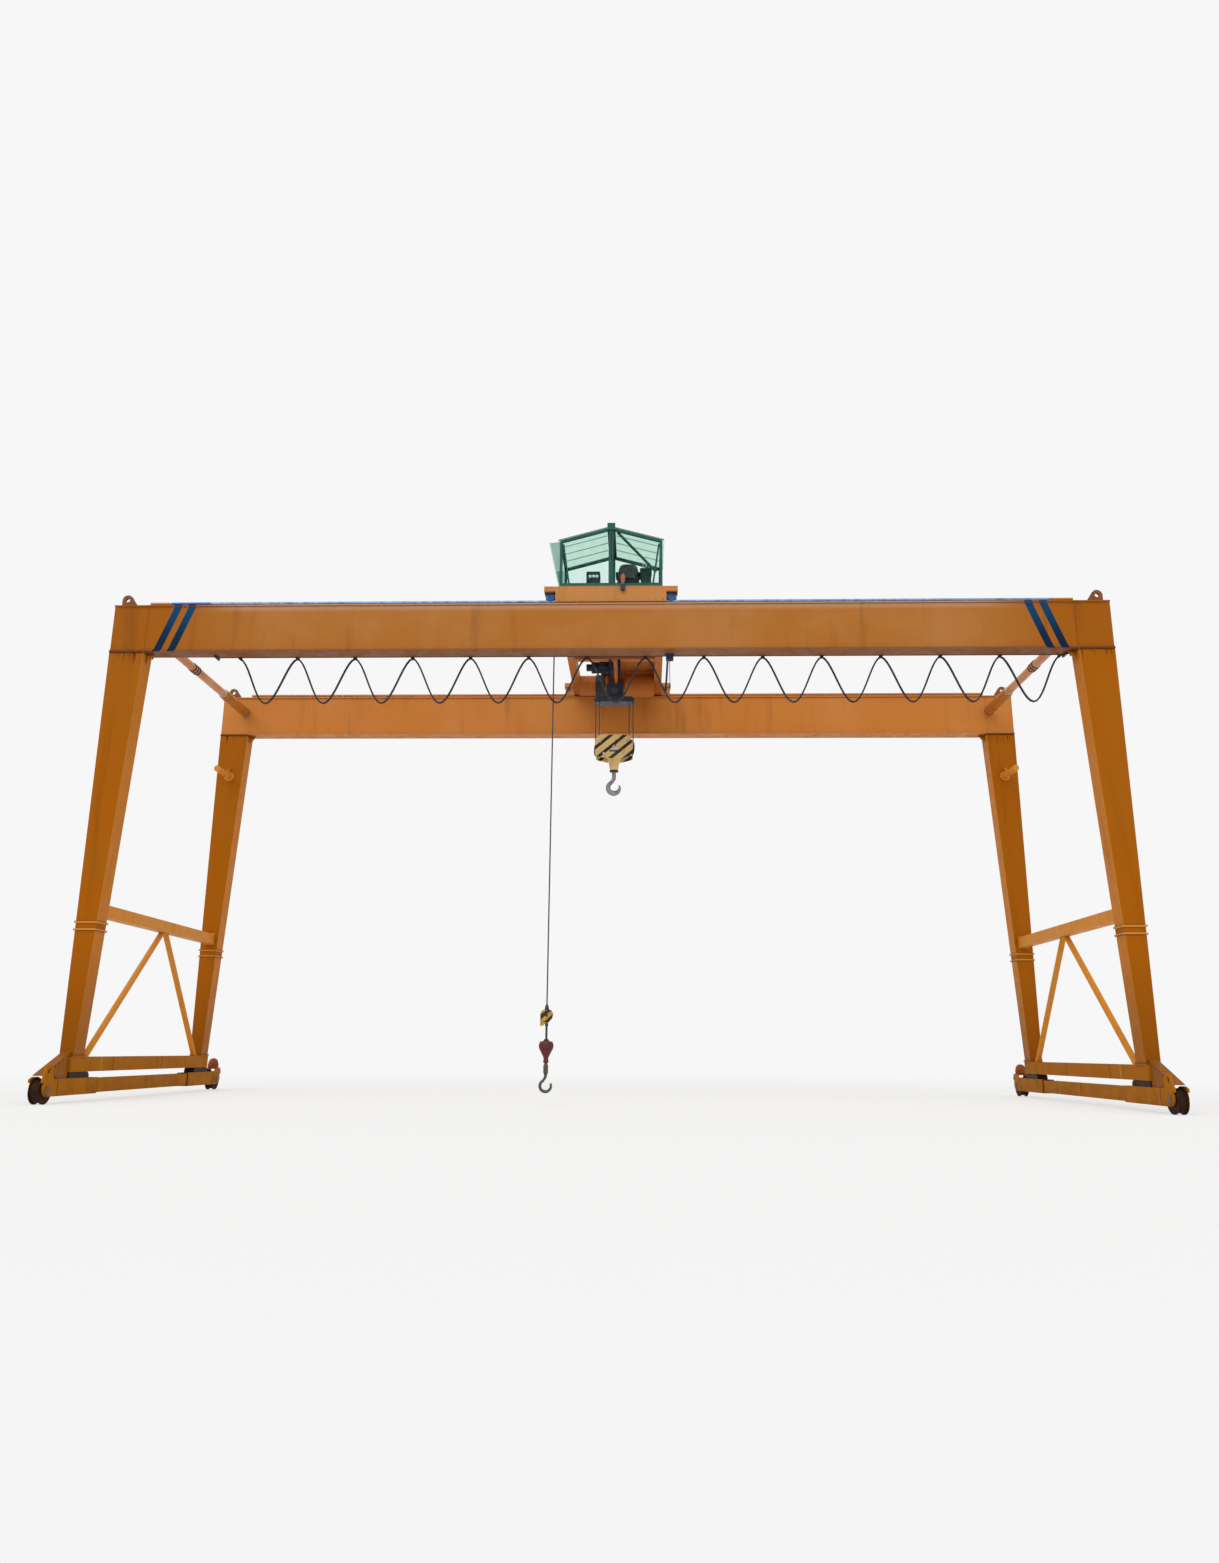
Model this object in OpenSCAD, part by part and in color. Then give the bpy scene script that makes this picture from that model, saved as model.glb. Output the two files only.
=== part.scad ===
// Double-girder gantry crane with a cab trolley, a main hook block and an auxiliary hook.
// Millimetres, +X along the girders, +Z up, origin on the ground under the middle of the portal.

/* [Girders] */
// Overall length of the girders
girder_length = 20000; // [16000:500:26000]
// Distance between the two girder centrelines
girder_gauge = 5980; // [5000:20:8000]
// Height of a girder over its flanges
girder_height = 990; // [800:10:1400]
// Width of the girder box between its web faces
girder_width = 340; // [260:10:500]
// How far a flange lips out past the web on each side
flange_lip = 30; // [15:5:60]
// Thickness of a girder flange
flange_thickness = 25; // [15:1:40]
// Height of the rail that the trolley runs on
rail_height = 125; // [110:5:150]
// Width of the rail head
rail_width = 60; // [50:2:70]
// Distance from a girder end to the end of its rail
rail_setback = 650; // [500:10:900]

/* [Legs] */
// Height of a leg from sill to girder
leg_height = 7930; // [6000:10:10000]
// Width of a leg under the girder
leg_top_width = 700; // [500:10:900]
// Width of a leg at its foot
leg_foot_width = 270; // [260:10:400]
// Depth of a leg across the girder
leg_depth = 380; // [300:10:500]
// Height of the splice above the foot of the leg
splice_rise = 2330; // [1500:10:2500]
// Height of the splice collar
splice_height = 160; // [120:5:240]
// Thickness of a splice, head or foot plate
plate_thickness = 25; // [15:1:40]
// How far a splice plate stands out past the leg
plate_lip = 25; // [15:1:40]
// Distance of the stub tubes below the girder
stub_drop = 1100; // [900:10:1400]
// Length of a stub tube
stub_length = 820; // [300:10:1000]
// Diameter of a stub tube
stub_diameter = 150; // [100:5:200]

/* [Bracing] */
// Diameter of the end tie tubes between the girders
tie_diameter = 180; // [150:10:260]
// Diameter of the collar at each end of a tie
collar_diameter = 260; // [240:10:340]
// Height of the end ties above the girder underside
tie_rise = 580; // [400:10:600]
// Distance from the girder end to the end tie axis
tie_setback = 600; // [560:10:800]
// Height of the strut axis above the foot of the leg
strut_rise = 2750; // [2700:10:3600]
// Width of the strut between the legs
strut_width = 200; // [150:10:260]
// Height of the strut section
strut_height = 240; // [180:10:300]
// Diameter of the inverted V tubes
brace_diameter = 120; // [90:2:140]
// Distance of a V tube on the sill from the foot plate of the leg
brace_foot = 100; // [10:5:300]
// Gap between the two V tubes under the strut
brace_gap = 14; // [10:1:60]
// Distance of the top of the V tubes behind the middle of the strut
brace_shift = 300; // [0:10:1000]

/* [Travel gear] */
// Outer radius of a travel wheel over its flanges
wheel_radius = 230; // [200:5:280]
// Width of a travel wheel
wheel_width = 180; // [140:5:180]
// Depth of the wheel flanges
wheel_flange = 25; // [15:1:35]
// Distance of a wheel axle outside its girder line
wheel_offset = 960; // [900:10:1300]
// Diameter of a wheel axle
axle_diameter = 90; // [70:2:110]
// Running clearance on the radius of axles and shanks
run_gap = 0.5; // [0.3:0.1:1]
// Side clearance of a wheel between its cheeks
cheek_gap = 12; // [8:1:14]
// Thickness of a cheek plate
cheek_thickness = 28; // [20:1:30]
// Height of the end carriage beam
carriage_height = 300; // [260:10:360]
// Length of the thicker part at each end of a carriage
carriage_end_length = 1500; // [1200:10:1800]
// How much slimmer the carriage is between its thicker ends
carriage_step = 18; // [10:1:25]
// Height of the saddle on the end carriage
saddle_height = 110; // [80:5:160]
// Length of the saddle under the foot of a leg
saddle_length = 740; // [480:10:900]
// Height of the sill beam
sill_height = 270; // [200:10:360]
// Clearance of the gear covers above a travel wheel
cover_gap = 30; // [20:1:50]

/* [Trolley] */
// Place of the trolley along the girders from the middle
trolley_place = 105; // [-3000:5:3000]
// How far a truck reaches past the deck before its end notch
truck_over = 22; // [20:1:80]
// Width of a truck
truck_width = 280; // [240:10:320]
// Height of a truck
truck_height = 330; // [320:5:400]
// Height of the truck underside above the girder
truck_rise = 53; // [40:1:80]
// Length of the wing over each trolley wheel
wing_length = 230; // [226:2:280]
// Thickness of a wing
wing_thickness = 105; // [90:5:120]
// Tread radius of a trolley wheel
trolley_wheel_radius = 85; // [76:1:88]
// Depth of a trolley wheel flange
trolley_flange = 14; // [10:1:16]
// Diameter of the trolley wheel shafts
shaft_diameter = 50; // [40:2:60]
// Clearance of a wheel tread above its rail
tread_gap = 0.3; // [0.2:0.1:1]
// Half width of the deck frame over its side beams
deck_half = 1100; // [1000:10:1400]
// Width of a deck side beam
side_beam_width = 180; // [140:10:200]
// Thickness of the deck plate
deck_thickness = 12; // [8:1:20]
// Radius of the rope drum
drum_radius = 250; // [200:5:260]
// Radius of the hoist motor
motor_radius = 125; // [100:5:135]

/* [Cab] */
// Distance of the cab walls inside the deck edge
cab_inset = 55; // [40:5:120]
// Depth of the cab from front to back
cab_depth = 1400; // [1300:10:1500]
// Thickness of the cab floor
floor_thickness = 20; // [16:1:40]
// Height of the cab walls above the floor
cab_wall = 990; // [900:10:1200]
// Rise of the roof from eaves to ridge
cab_gable = 290; // [250:10:400]
// Width of the cab frame bars
cab_bar = 50; // [40:2:60]
// Half width of the ridge beam
ridge_half = 80; // [60:5:100]
// Clearance of a pane in its frame
pane_gap = 0.3; // [0.2:0.1:1]
// Angle of the tilted side window
vent_angle = 12.5; // [8:0.5:20]

/* [Hoists] */
// Distance of the crown block underside below the girders
crown_drop = 110; // [80:5:350]
// Half width of the crown block
crown_half = 455; // [445:5:520]
// Distance of the hook block top below the crown block
block_drop = 790; // [500:5:3000]
// Height of the hook block cheeks
block_height = 545; // [535:5:700]
// Half width of the hook block
block_half = 430; // [400:5:460]
// Height of the lower corners of the hook block over its bottom
block_corner = 70; // [40:5:120]
// Turn of each hook block sheave about its upright axis
sheave_turn = 18; // [0:1:20]
// Radius of the hook block sheaves at the rope centre
sheave_radius = 150; // [130:5:160]
// Distance between the two sheaves
sheave_pitch = 760; // [700:5:780]
// Diameter of the main rope
rope_diameter = 24; // [18:1:30]
// Diameter of the main hook shank
shank_diameter = 90; // [70:2:100]
// Middle radius of the main hook bowl
bowl_radius = 130; // [110:5:160]
// Distance of the auxiliary rope outside the deck edge
aux_offset = 75; // [70:5:150]
// Distance of the auxiliary rope inside the front girder line
aux_inset = 480; // [460:10:600]
// Diameter of the auxiliary rope
aux_rope_diameter = 28; // [18:1:32]
// Height of the auxiliary weight centre above the ground
aux_level = 1050; // [950:5:2000]
// Radius of the auxiliary weight
aux_radius = 140; // [110:5:170]
// Middle radius of the auxiliary hook bowl
aux_bowl = 104; // [90:2:120]

/* [Festoon] */
// Distance from the left girder end to the first festoon hanger
festoon_left = 2510; // [1800:10:3000]
// Distance from the right girder end to the last festoon hanger
festoon_right = 910; // [900:10:2000]
// Number of festoon loops
festoon_loops = 14; // [10:1:14]
// Depth of a festoon loop
festoon_drop = 945; // [700:5:1200]
// Distance of the festoon wire from the girder web
festoon_inset = 90; // [80:5:140]
// Width of the flat festoon cable
cable_width = 50; // [40:1:60]
// Thickness of the flat festoon cable
cable_thickness = 16; // [10:1:24]

/* [Hidden] */
half_length = girder_length / 2;
half_gauge = girder_gauge / 2;
flange_width = girder_width + 2 * flange_lip;
carriage_z = wheel_radius - 100;
carriage_top = carriage_z + carriage_height;
sill_z = carriage_top + saddle_height;
leg_z = sill_z + sill_height;
girder_z = leg_z + leg_height;
girder_top = girder_z + girder_height;
rail_top = girder_top + rail_height;
splice_z = leg_z + splice_rise;
strut_z = leg_z + strut_rise;
leg_inner_y = half_gauge - leg_depth / 2;
leg_outer_y = half_gauge + leg_depth / 2;
web_inner_y = half_gauge - girder_width / 2;
function leg_width(z) =
    leg_foot_width + (leg_top_width - leg_foot_width) * (z - leg_z) / leg_height;
function leg_mid(z) = half_length - leg_width(z) / 2;
rib_places = [0.24, 0.58];
lug_radius = 110;
lug_bore = 45;
lug_thickness = 60;
lug_rise = girder_top + 180;
lug_x = half_length - lug_radius - lug_thickness;
tie_x = half_length - tie_setback;
tie_z = girder_z + tie_rise;
foot_mid = half_length - leg_foot_width / 2;
brace_x = (foot_mid + leg_mid(strut_z)) / 2;
sill_end = leg_outer_y + 2 * plate_lip;
wheel_y = half_gauge + wheel_offset;
carriage_width = wheel_width + 2 * (cheek_gap + cheek_thickness);
carriage_half = wheel_y - wheel_radius - 70;
cover_z = 2 * wheel_radius + cover_gap;
cover_half = wheel_width / 2 - 5;
travel_motor_radius = wheel_radius / 2;
truck_half = deck_half + truck_over;
truck_z = girder_top + truck_rise;
truck_top = truck_z + truck_height;
trolley_wheel_x = truck_half + trolley_wheel_radius + trolley_flange + 8;
trolley_wheel_z = rail_top + trolley_wheel_radius + tread_gap;
tread_width = rail_width + 10;
wheel_cheek_y = tread_width / 2 + 30;
wheel_cheek = 30;
truck_inner_y = half_gauge - truck_width / 2;
beam_top = truck_top - deck_thickness;
beam_z = truck_z + 10;
deck_inner = deck_half - side_beam_width;
crossbeam_half = 90;
crossbeam_z = beam_z + 10;
main_beam_z = crossbeam_z - 130;
rear_beam_y = truck_inner_y - 290;
drum_y = rear_beam_y - crossbeam_half - drum_radius - 170;
drum_z = beam_top - drum_radius - 90;
motor_y = drum_y - drum_radius - motor_radius - 650;
motor_z = beam_top - motor_radius - 110;
hatch_x = -400;
hatch_front = motor_y + motor_radius + 90;
hatch_rear = rear_beam_y - crossbeam_half - 20;
cab_half = deck_half - cab_inset;
cab_z = truck_top + floor_thickness;
cab_front = half_gauge + truck_width / 2;
cab_back = cab_front - cab_depth;
front_beam_y = -cab_back - 20;
eaves_z = cab_z + cab_wall;
ridge_z = eaves_z + cab_gable;
roof_slope = cab_gable / cab_half;
roof_over = cab_half + 40;
post_half = 43;
post_slot = 9;
crown_level = girder_z - crown_drop;
block_level = crown_level - block_drop;
crown_height = 120;
crown_depth = 170;
gear_height = 320;
gear_top = crown_level + crown_height + gear_height;
block_bottom = block_level - block_height;
neck_height = 260;
sheave_z = block_level - 270;
shank_depth = 145;
cheek_y = sheave_radius + 30;
sheave_x = sheave_pitch / 2;
bowl_z = block_bottom - neck_height - 2.79 * bowl_radius;
aux_x = -deck_half - aux_offset;
aux_y = -half_gauge + aux_inset;
aux_drum = 120;
aux_drum_z = beam_z - aux_drum - 30;
aux_drum_x = aux_x + aux_rope_diameter / 2 + run_gap + aux_drum;
aux_drum_half = 200;
tag_z = aux_level + 385;
tag_height = 298;
tag_seat = 60;
barrel_z = aux_level - 290;
aux_shank = 27;
aux_bowl_z = aux_level - 706;
festoon_x0 = -half_length + festoon_left;
festoon_pitch = (girder_length - festoon_left - festoon_right) / festoon_loops;
festoon_y = -web_inner_y + festoon_inset;
festoon_z = girder_z + 15;
wire_radius = 9;
hanger_height = 20;
cable_z = festoon_z - wire_radius - hanger_height - pane_gap;
$fn = 48;

// Axis-aligned block between two corners.
module block(low, high) {
    translate(low)
        cube(high - low);
}

// Profile in X and Z, drawn out along Y between two stations.
module along_y(y0, y1) {
    translate([0, y1, 0])
        rotate([90, 0, 0])
            linear_extrude(height = y1 - y0)
                children();
}

// Profile in Y and Z, drawn out along X between two stations.
module along_x(x0, x1) {
    translate([x0, 0, 0])
        rotate([90, 0, 90])
            linear_extrude(height = x1 - x0)
                children();
}

// Round piece along X from a start point.
module rod_x(start, length, radius) {
    translate(start)
        rotate([0, 90, 0])
            cylinder(h = length, r = radius);
}

// Round piece along Y from a start point.
module rod_y(start, length, radius) {
    translate(start)
        rotate([-90, 0, 0])
            cylinder(h = length, r = radius);
}

// The piece and its mirror image across the middle of the span.
module both_ends() {
    children();
    mirror([1, 0, 0])
        children();
}

// The piece and its mirror image across the middle of the gauge.
module both_sides() {
    children();
    mirror([0, 1, 0])
        children();
}

// Piece of the trolley, drawn about the trolley middle.
module at_trolley() {
    translate([trolley_place, 0, 0])
        children();
}

// Round bar between two points.
module bar(from, to, diameter) {
    run = to - from;
    translate(from)
        rotate([0, acos(run.z / norm(run)), atan2(run.y, run.x)])
            cylinder(h = norm(run), d = diameter);
}

// Box girder with lipped flanges, centred on Y.
module girder() {
    block([-half_length, -girder_width / 2, girder_z],
          [half_length, girder_width / 2, girder_top]);
    block([-half_length, -flange_width / 2, girder_z],
          [half_length, flange_width / 2, girder_z + flange_thickness]);
    block([-half_length, -flange_width / 2, girder_top - flange_thickness],
          [half_length, flange_width / 2, girder_top]);
}

module front_girder() {
    color("darkorange")
        translate([0, -half_gauge, 0])
            girder();
}

module rear_girder() {
    color("darkorange")
        translate([0, half_gauge, 0])
            girder();
}

module trolley_rails() {
    head = rail_width / 2;
    color("steelblue")
        both_sides()
            translate([0, half_gauge, girder_top])
                along_x(-half_length + rail_setback, half_length - rail_setback)
                    polygon([[-55, 0], [55, 0], [55, 12], [12, 22], [12, rail_height - 44],
                             [head, rail_height - 34], [head, rail_height], [-head, rail_height],
                             [-head, rail_height - 34], [-12, rail_height - 44], [-12, 22], [-55, 12]]);
}

// Tapered leg between two levels, at the right end, centred on Y.
module leg_length(low, high) {
    along_y(-leg_depth / 2, leg_depth / 2)
        polygon([[half_length - leg_width(low), low], [half_length, low],
                 [half_length, high], [half_length - leg_width(high), high]]);
}

// Whole leg at the right end: lower length, upper length, head plate, ribs and knee.
module leg() {
    leg_length(leg_z, splice_z);
    block([half_length - leg_foot_width - plate_lip, -leg_depth / 2 - plate_lip, leg_z],
          [half_length, leg_depth / 2 + plate_lip, leg_z + plate_thickness]);
    leg_length(splice_z + splice_height, girder_z);
    block([half_length - leg_top_width - plate_lip, -leg_depth / 2 - plate_lip,
           girder_z - plate_thickness],
          [half_length, leg_depth / 2 + plate_lip, girder_z]);
    for (part = rib_places) {
        along_x(half_length - leg_top_width * part - 10, half_length - leg_top_width * part + 10)
            polygon([[-leg_depth / 2 - plate_lip, girder_z - 5],
                     [leg_depth / 2 + plate_lip, girder_z - 5],
                     [leg_depth / 2 - 5, girder_z - 220], [-leg_depth / 2 + 5, girder_z - 220]]);
    }
    along_y(-12, 12)
        polygon([[half_length - leg_top_width - 150, girder_z],
                 [half_length - leg_top_width + 60, girder_z],
                 [half_length - leg_top_width + 60, girder_z - 200],
                 [half_length - leg_top_width - 5, girder_z - 180]]);
}

module front_left_leg() {
    color("orange")
        translate([0, -half_gauge, 0])
            mirror([1, 0, 0])
                leg();
}

module front_right_leg() {
    color("orange")
        translate([0, -half_gauge, 0])
            leg();
}

module rear_left_leg() {
    color("orange")
        translate([0, half_gauge, 0])
            mirror([1, 0, 0])
                leg();
}

module rear_right_leg() {
    color("orange")
        translate([0, half_gauge, 0])
            leg();
}

// Splice plate round the leg at one level.
module splice_plate(low) {
    block([half_length - leg_width(low) - plate_lip, -leg_depth / 2 - plate_lip, low],
          [half_length + plate_lip, leg_depth / 2 + plate_lip, low + plate_thickness]);
}

module leg_splices() {
    color("orange")
        both_ends()
            both_sides()
                translate([0, half_gauge, 0]) {
                    leg_length(splice_z, splice_z + splice_height);
                    splice_plate(splice_z);
                    splice_plate(splice_z + splice_height - plate_thickness);
                }
}

module leg_stubs() {
    stub_z = girder_z - stub_drop;
    color("orange")
        both_ends()
            translate([leg_mid(stub_z), leg_inner_y, stub_z]) {
                rotate([90, 0, 0])
                    cylinder(h = stub_length, d = stub_diameter);
                rotate([90, 0, 0])
                    cylinder(h = plate_thickness, d = stub_diameter + 90);
                along_x(-10, 10)
                    polygon([[0, stub_diameter / 2 + 150], [0, stub_diameter / 2 - 20],
                             [-stub_length / 3, stub_diameter / 2 - 20],
                             [-stub_length / 3, stub_diameter / 2 + 5]]);
            }
}

module end_ties() {
    color("darkorange")
        both_ends()
            translate([tie_x, -web_inner_y, tie_z]) {
                rod_y([0, 0, 0], 2 * web_inner_y, tie_diameter / 2);
                rod_y([0, 0, 0], 40, collar_diameter / 2);
                rod_y([0, 2 * web_inner_y - 40, 0], 40, collar_diameter / 2);
            }
}

module leg_struts() {
    color("orange")
        both_ends()
            translate([leg_mid(strut_z), 0, strut_z]) {
                block([-strut_width / 2, -leg_inner_y, -strut_height / 2],
                      [strut_width / 2, leg_inner_y, strut_height / 2]);
                both_sides()
                    block([-strut_width / 2 - 20, leg_inner_y - plate_thickness, -strut_height / 2 - 20],
                          [strut_width / 2 + 20, leg_inner_y, strut_height / 2 + 20]);
            }
}

// Tube from the sill beside a leg up to the underside of the strut, cut flush with both, on the
// rear side (side 1) or in the mirrored place of the front side (side -1).
module brace(side) {
    under = strut_z - strut_height / 2;
    apex = side * brace_shift;
    foot = leg_inner_y - plate_lip - brace_foot;
    slope = atan2(under - leg_z, foot - apex - 1.5 * brace_diameter);
    reach = brace_diameter / 2 / sin(slope);
    low = [brace_x, foot - reach, leg_z];
    high = [brace_x, apex + brace_gap / 2 + reach, under];
    along = (high - low) / norm(high - low);
    difference() {
        bar(low - 200 * along, high + 200 * along, brace_diameter);
        block([brace_x - 200, 0, leg_z - 600], [brace_x + 200, half_gauge, leg_z]);
        block([brace_x - 200, -leg_inner_y, under], [brace_x + 200, leg_inner_y, under + 600]);
    }
}

module leg_braces() {
    color("orange")
        both_ends() {
            brace(1);
            mirror([0, 1, 0])
                brace(-1);
        }
}

module sills() {
    color("darkorange")
        both_ends()
            block([half_length - leg_foot_width, -sill_end, sill_z], [half_length, sill_end, leg_z]);
}

module carriage_saddles() {
    color("dimgray")
        both_ends()
            both_sides()
                along_x(foot_mid - carriage_width / 2 + 15, foot_mid + carriage_width / 2 - 15)
                    polygon([[sill_end - saddle_length, carriage_top], [sill_end, carriage_top],
                             [sill_end, sill_z], [sill_end - saddle_length + 60, sill_z],
                             [sill_end - saddle_length, sill_z - 45]]);
}

// Cheek plate with a round nose and an upright, profile in Y and Z.
module cheek(x, rise, top_half) {
    along_x(x, x + cheek_thickness)
        polygon([[carriage_half - 300, carriage_z], [wheel_y, carriage_z], [wheel_y, carriage_top],
                 [wheel_y + 190, carriage_top], [wheel_y + top_half, carriage_top + rise],
                 [wheel_y - top_half, carriage_top + rise], [wheel_y - 190, carriage_top],
                 [carriage_half - 300, carriage_top]]);
    rod_x([x, wheel_y, carriage_z + carriage_height / 2], cheek_thickness, carriage_height / 2);
    block([x, wheel_y - 10, carriage_top - 60], [x + cheek_thickness, wheel_y + 190, carriage_top]);
}

// Rear end of a carriage at the right: an upright on each cheek, and the axle.
module carriage_end(inner_rise, outer_rise, top_half) {
    inner = foot_mid - carriage_width / 2;
    cheek(inner, inner_rise, top_half);
    cheek(inner + carriage_width - cheek_thickness, outer_rise, top_half);
    rod_x([inner, wheel_y, wheel_radius], carriage_width, axle_diameter / 2);
}

module end_carriage() {
    inner = foot_mid - carriage_width / 2;
    outer = foot_mid + carriage_width / 2;
    middle = carriage_half - carriage_end_length;
    block([inner + carriage_step, -middle - 10, carriage_z + carriage_step],
          [outer - carriage_step, middle + 10, carriage_top - carriage_step]);
    both_sides()
        block([inner, middle, carriage_z], [outer, carriage_half, carriage_top]);
    carriage_end(cover_z - carriage_top, cover_z - carriage_top, 1.3 * travel_motor_radius);
    difference() {
        mirror([0, 1, 0])
            carriage_end(240, 40, 90);
        rod_x([inner - 10, -wheel_y, carriage_top + 150], carriage_width / 2, 55);
    }
}

module left_end_carriage() {
    color("orange")
        mirror([1, 0, 0])
            end_carriage();
}

module right_end_carriage() {
    color("orange")
        end_carriage();
}

// Wedge cover from the foot of a front leg down over the travel wheel.
module gear_covers() {
    nose = wheel_y + 150;
    color("darkorange")
        both_ends()
            along_x(foot_mid - cover_half, foot_mid + cover_half)
                polygon([[-leg_outer_y, leg_z + plate_thickness], [-leg_outer_y, leg_z + 100],
                         [-nose, cover_z + 12], [-nose, cover_z], [-carriage_half, cover_z],
                         [-carriage_half, carriage_top], [-sill_end, carriage_top], [-sill_end, leg_z],
                         [-leg_outer_y - plate_lip, leg_z],
                         [-leg_outer_y - plate_lip, leg_z + plate_thickness]]);
}

// Upright motor over each rear travel wheel.
module travel_motors() {
    motor_foot = 1.3 * travel_motor_radius;
    color("darkorange")
        both_ends() {
            block([foot_mid - carriage_width / 2, wheel_y - motor_foot, cover_z],
                  [foot_mid + carriage_width / 2, wheel_y + motor_foot, cover_z + plate_thickness]);
            translate([foot_mid, wheel_y, cover_z + plate_thickness]) {
                cylinder(h = travel_motor_radius, r = travel_motor_radius);
                translate([0, 0, travel_motor_radius])
                    intersection() {
                        sphere(r = travel_motor_radius);
                        cylinder(h = motor_foot, r = motor_foot);
                    }
            }
        }
}

// Pad eye with one sloped side, at the right end of a girder.
module lug() {
    difference() {
        union() {
            rod_y([lug_x, -lug_thickness / 2, lug_rise], lug_thickness, lug_radius);
            along_y(-lug_thickness / 2, lug_thickness / 2)
                polygon([[lug_x + lug_radius, girder_top], [lug_x + lug_radius, lug_rise],
                         [lug_x - 0.64 * lug_radius, lug_rise + 0.77 * lug_radius],
                         [lug_x - 2.27 * lug_radius, girder_top]]);
        }
        rod_y([lug_x, -lug_thickness, lug_rise], 2 * lug_thickness, lug_bore);
    }
}

module lifting_lugs() {
    color("darkorange")
        both_ends()
            both_sides()
                translate([0, half_gauge, 0])
                    lug();
}

// Flanged travel wheel turning about X, bored for its axle.
module travel_wheel() {
    half = wheel_width / 2;
    bore = axle_diameter / 2 + run_gap;
    rotate([0, 90, 0])
        rotate_extrude()
            polygon([[bore, -half], [wheel_radius, -half], [wheel_radius, -half + 22],
                     [wheel_radius - wheel_flange, -half + 28], [wheel_radius - wheel_flange, half - 28],
                     [wheel_radius, half - 22], [wheel_radius, half], [bore, half]]);
}

module front_left_wheel() {
    color("gray")
        translate([-foot_mid, -wheel_y, wheel_radius])
            travel_wheel();
}

module front_right_wheel() {
    color("gray")
        translate([foot_mid, -wheel_y, wheel_radius])
            travel_wheel();
}

module rear_left_wheel() {
    color("gray")
        translate([-foot_mid, wheel_y, wheel_radius])
            travel_wheel();
}

module rear_right_wheel() {
    color("gray")
        translate([foot_mid, wheel_y, wheel_radius])
            travel_wheel();
}

module festoon_wire() {
    x0 = festoon_x0 - 450;
    x1 = festoon_x0 + festoon_pitch * festoon_loops + 70;
    color("dimgray") {
        rod_x([x0, festoon_y, festoon_z], x1 - x0, wire_radius);
        for (x = [x0, x1]) {
            block([x - 20, -half_gauge + 60, girder_z - 40], [x + 20, festoon_y + 20, girder_z]);
            block([x - 20, festoon_y - 20, girder_z - 40], [x + 20, festoon_y + 20, festoon_z + 20]);
        }
    }
}

module festoon_hangers() {
    color("black")
        for (i = [0:festoon_loops])
            translate([festoon_x0 + i * festoon_pitch, festoon_y, cable_z])
                block([-35, -35, 0], [35, 35, hanger_height]);
}

// Height of the cable centre at a share of the festoon length, counted in loops.
function cable_height(s) =
    cable_z - pane_gap - cable_thickness / 2 - festoon_drop * pow((1 - cos(360 * s)) / 2, 0.9);
cable_steps = 6 * festoon_loops;
function cable_at(i) =
    [festoon_x0 + festoon_pitch * i / 6, cable_height(i / 6)];
function cable_turn(i) =
    atan2(cable_at(i + 0.05).y - cable_at(i - 0.05).y, cable_at(i + 0.05).x - cable_at(i - 0.05).x);
cable_sides = 8;
cable_points = [for (i = [0:cable_steps]) for (j = [0:cable_sides - 1])
    let (a = 360 * j / cable_sides, c = cable_at(i), t = cable_turn(i))
        [c.x - sin(t) * sin(a) * cable_thickness / 2,
         festoon_y + cos(a) * cable_width / 2,
         c.y + cos(t) * sin(a) * cable_thickness / 2]];

// Faces of a tube of rings, closed at both ends.
function tube_faces(rings, sides) = concat(
    [[for (j = [0:sides - 1]) j]],
    [for (i = [0:rings - 2]) for (j = [0:sides - 1])
        [i * sides + j, (i + 1) * sides + j, (i + 1) * sides + (j + 1) % sides,
         i * sides + (j + 1) % sides]],
    [[for (j = [sides - 1:-1:0]) (rings - 1) * sides + j]]);

module festoon_cable() {
    color("black")
        polyhedron(cable_points, tube_faces(cable_steps + 1, cable_sides));
}

// Truck at the rear, centred on its rail: a box over the rail, with a wheel pocket under each wing.
module truck() {
    end = truck_half + wing_length;
    over = trolley_wheel_radius + trolley_flange;
    groove = rail_width / 2 + 12;
    difference() {
        union() {
            block([-truck_half, -truck_width / 2, truck_z], [truck_half, truck_width / 2, truck_top]);
            both_ends() {
                block([truck_half - 10, -truck_width / 2, truck_top - wing_thickness],
                      [end, truck_width / 2, truck_top]);
                block([truck_half - 10, -wheel_cheek_y - wheel_cheek, truck_z],
                      [end - 20, -wheel_cheek_y, truck_top - wing_thickness + 10]);
            }
        }
        block([-truck_half - 10, -groove, truck_z - 10], [truck_half + 10, groove, rail_top + 12]);
        both_ends() {
            block([truck_half, -wheel_cheek_y, truck_z],
                  [trolley_wheel_x + over + 10, wheel_cheek_y, trolley_wheel_z + over + 12]);
            rod_y([trolley_wheel_x, -wheel_cheek_y - wheel_cheek - 10, trolley_wheel_z],
                  wheel_cheek + 20, shaft_diameter / 2 + run_gap);
        }
    }
}

module trolley_trucks() {
    color("orange")
        at_trolley()
            both_sides()
                translate([0, half_gauge, 0])
                    truck();
}

module deck_beams() {
    color("orange")
        at_trolley()
            both_ends()
                block([deck_inner, -truck_inner_y, beam_z], [deck_half, truck_inner_y, beam_top]);
}

module deck_crossbeams() {
    color("darkorange")
        at_trolley() {
            for (y = [front_beam_y, rear_beam_y])
                block([-deck_inner, y - crossbeam_half, crossbeam_z],
                      [deck_inner, y + crossbeam_half, beam_top]);
            block([-deck_inner, -crossbeam_half, main_beam_z], [deck_inner, crossbeam_half, beam_top]);
            block([-45, front_beam_y, crossbeam_z], [45, rear_beam_y, beam_top]);
        }
}

module deck_plate() {
    color("orange")
        at_trolley()
            difference() {
                block([-deck_half, -truck_inner_y, beam_top], [deck_half, truck_inner_y, truck_top]);
                block([-deck_inner, hatch_front, beam_top - 10], [hatch_x, hatch_rear, truck_top + 10]);
            }
}

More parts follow.
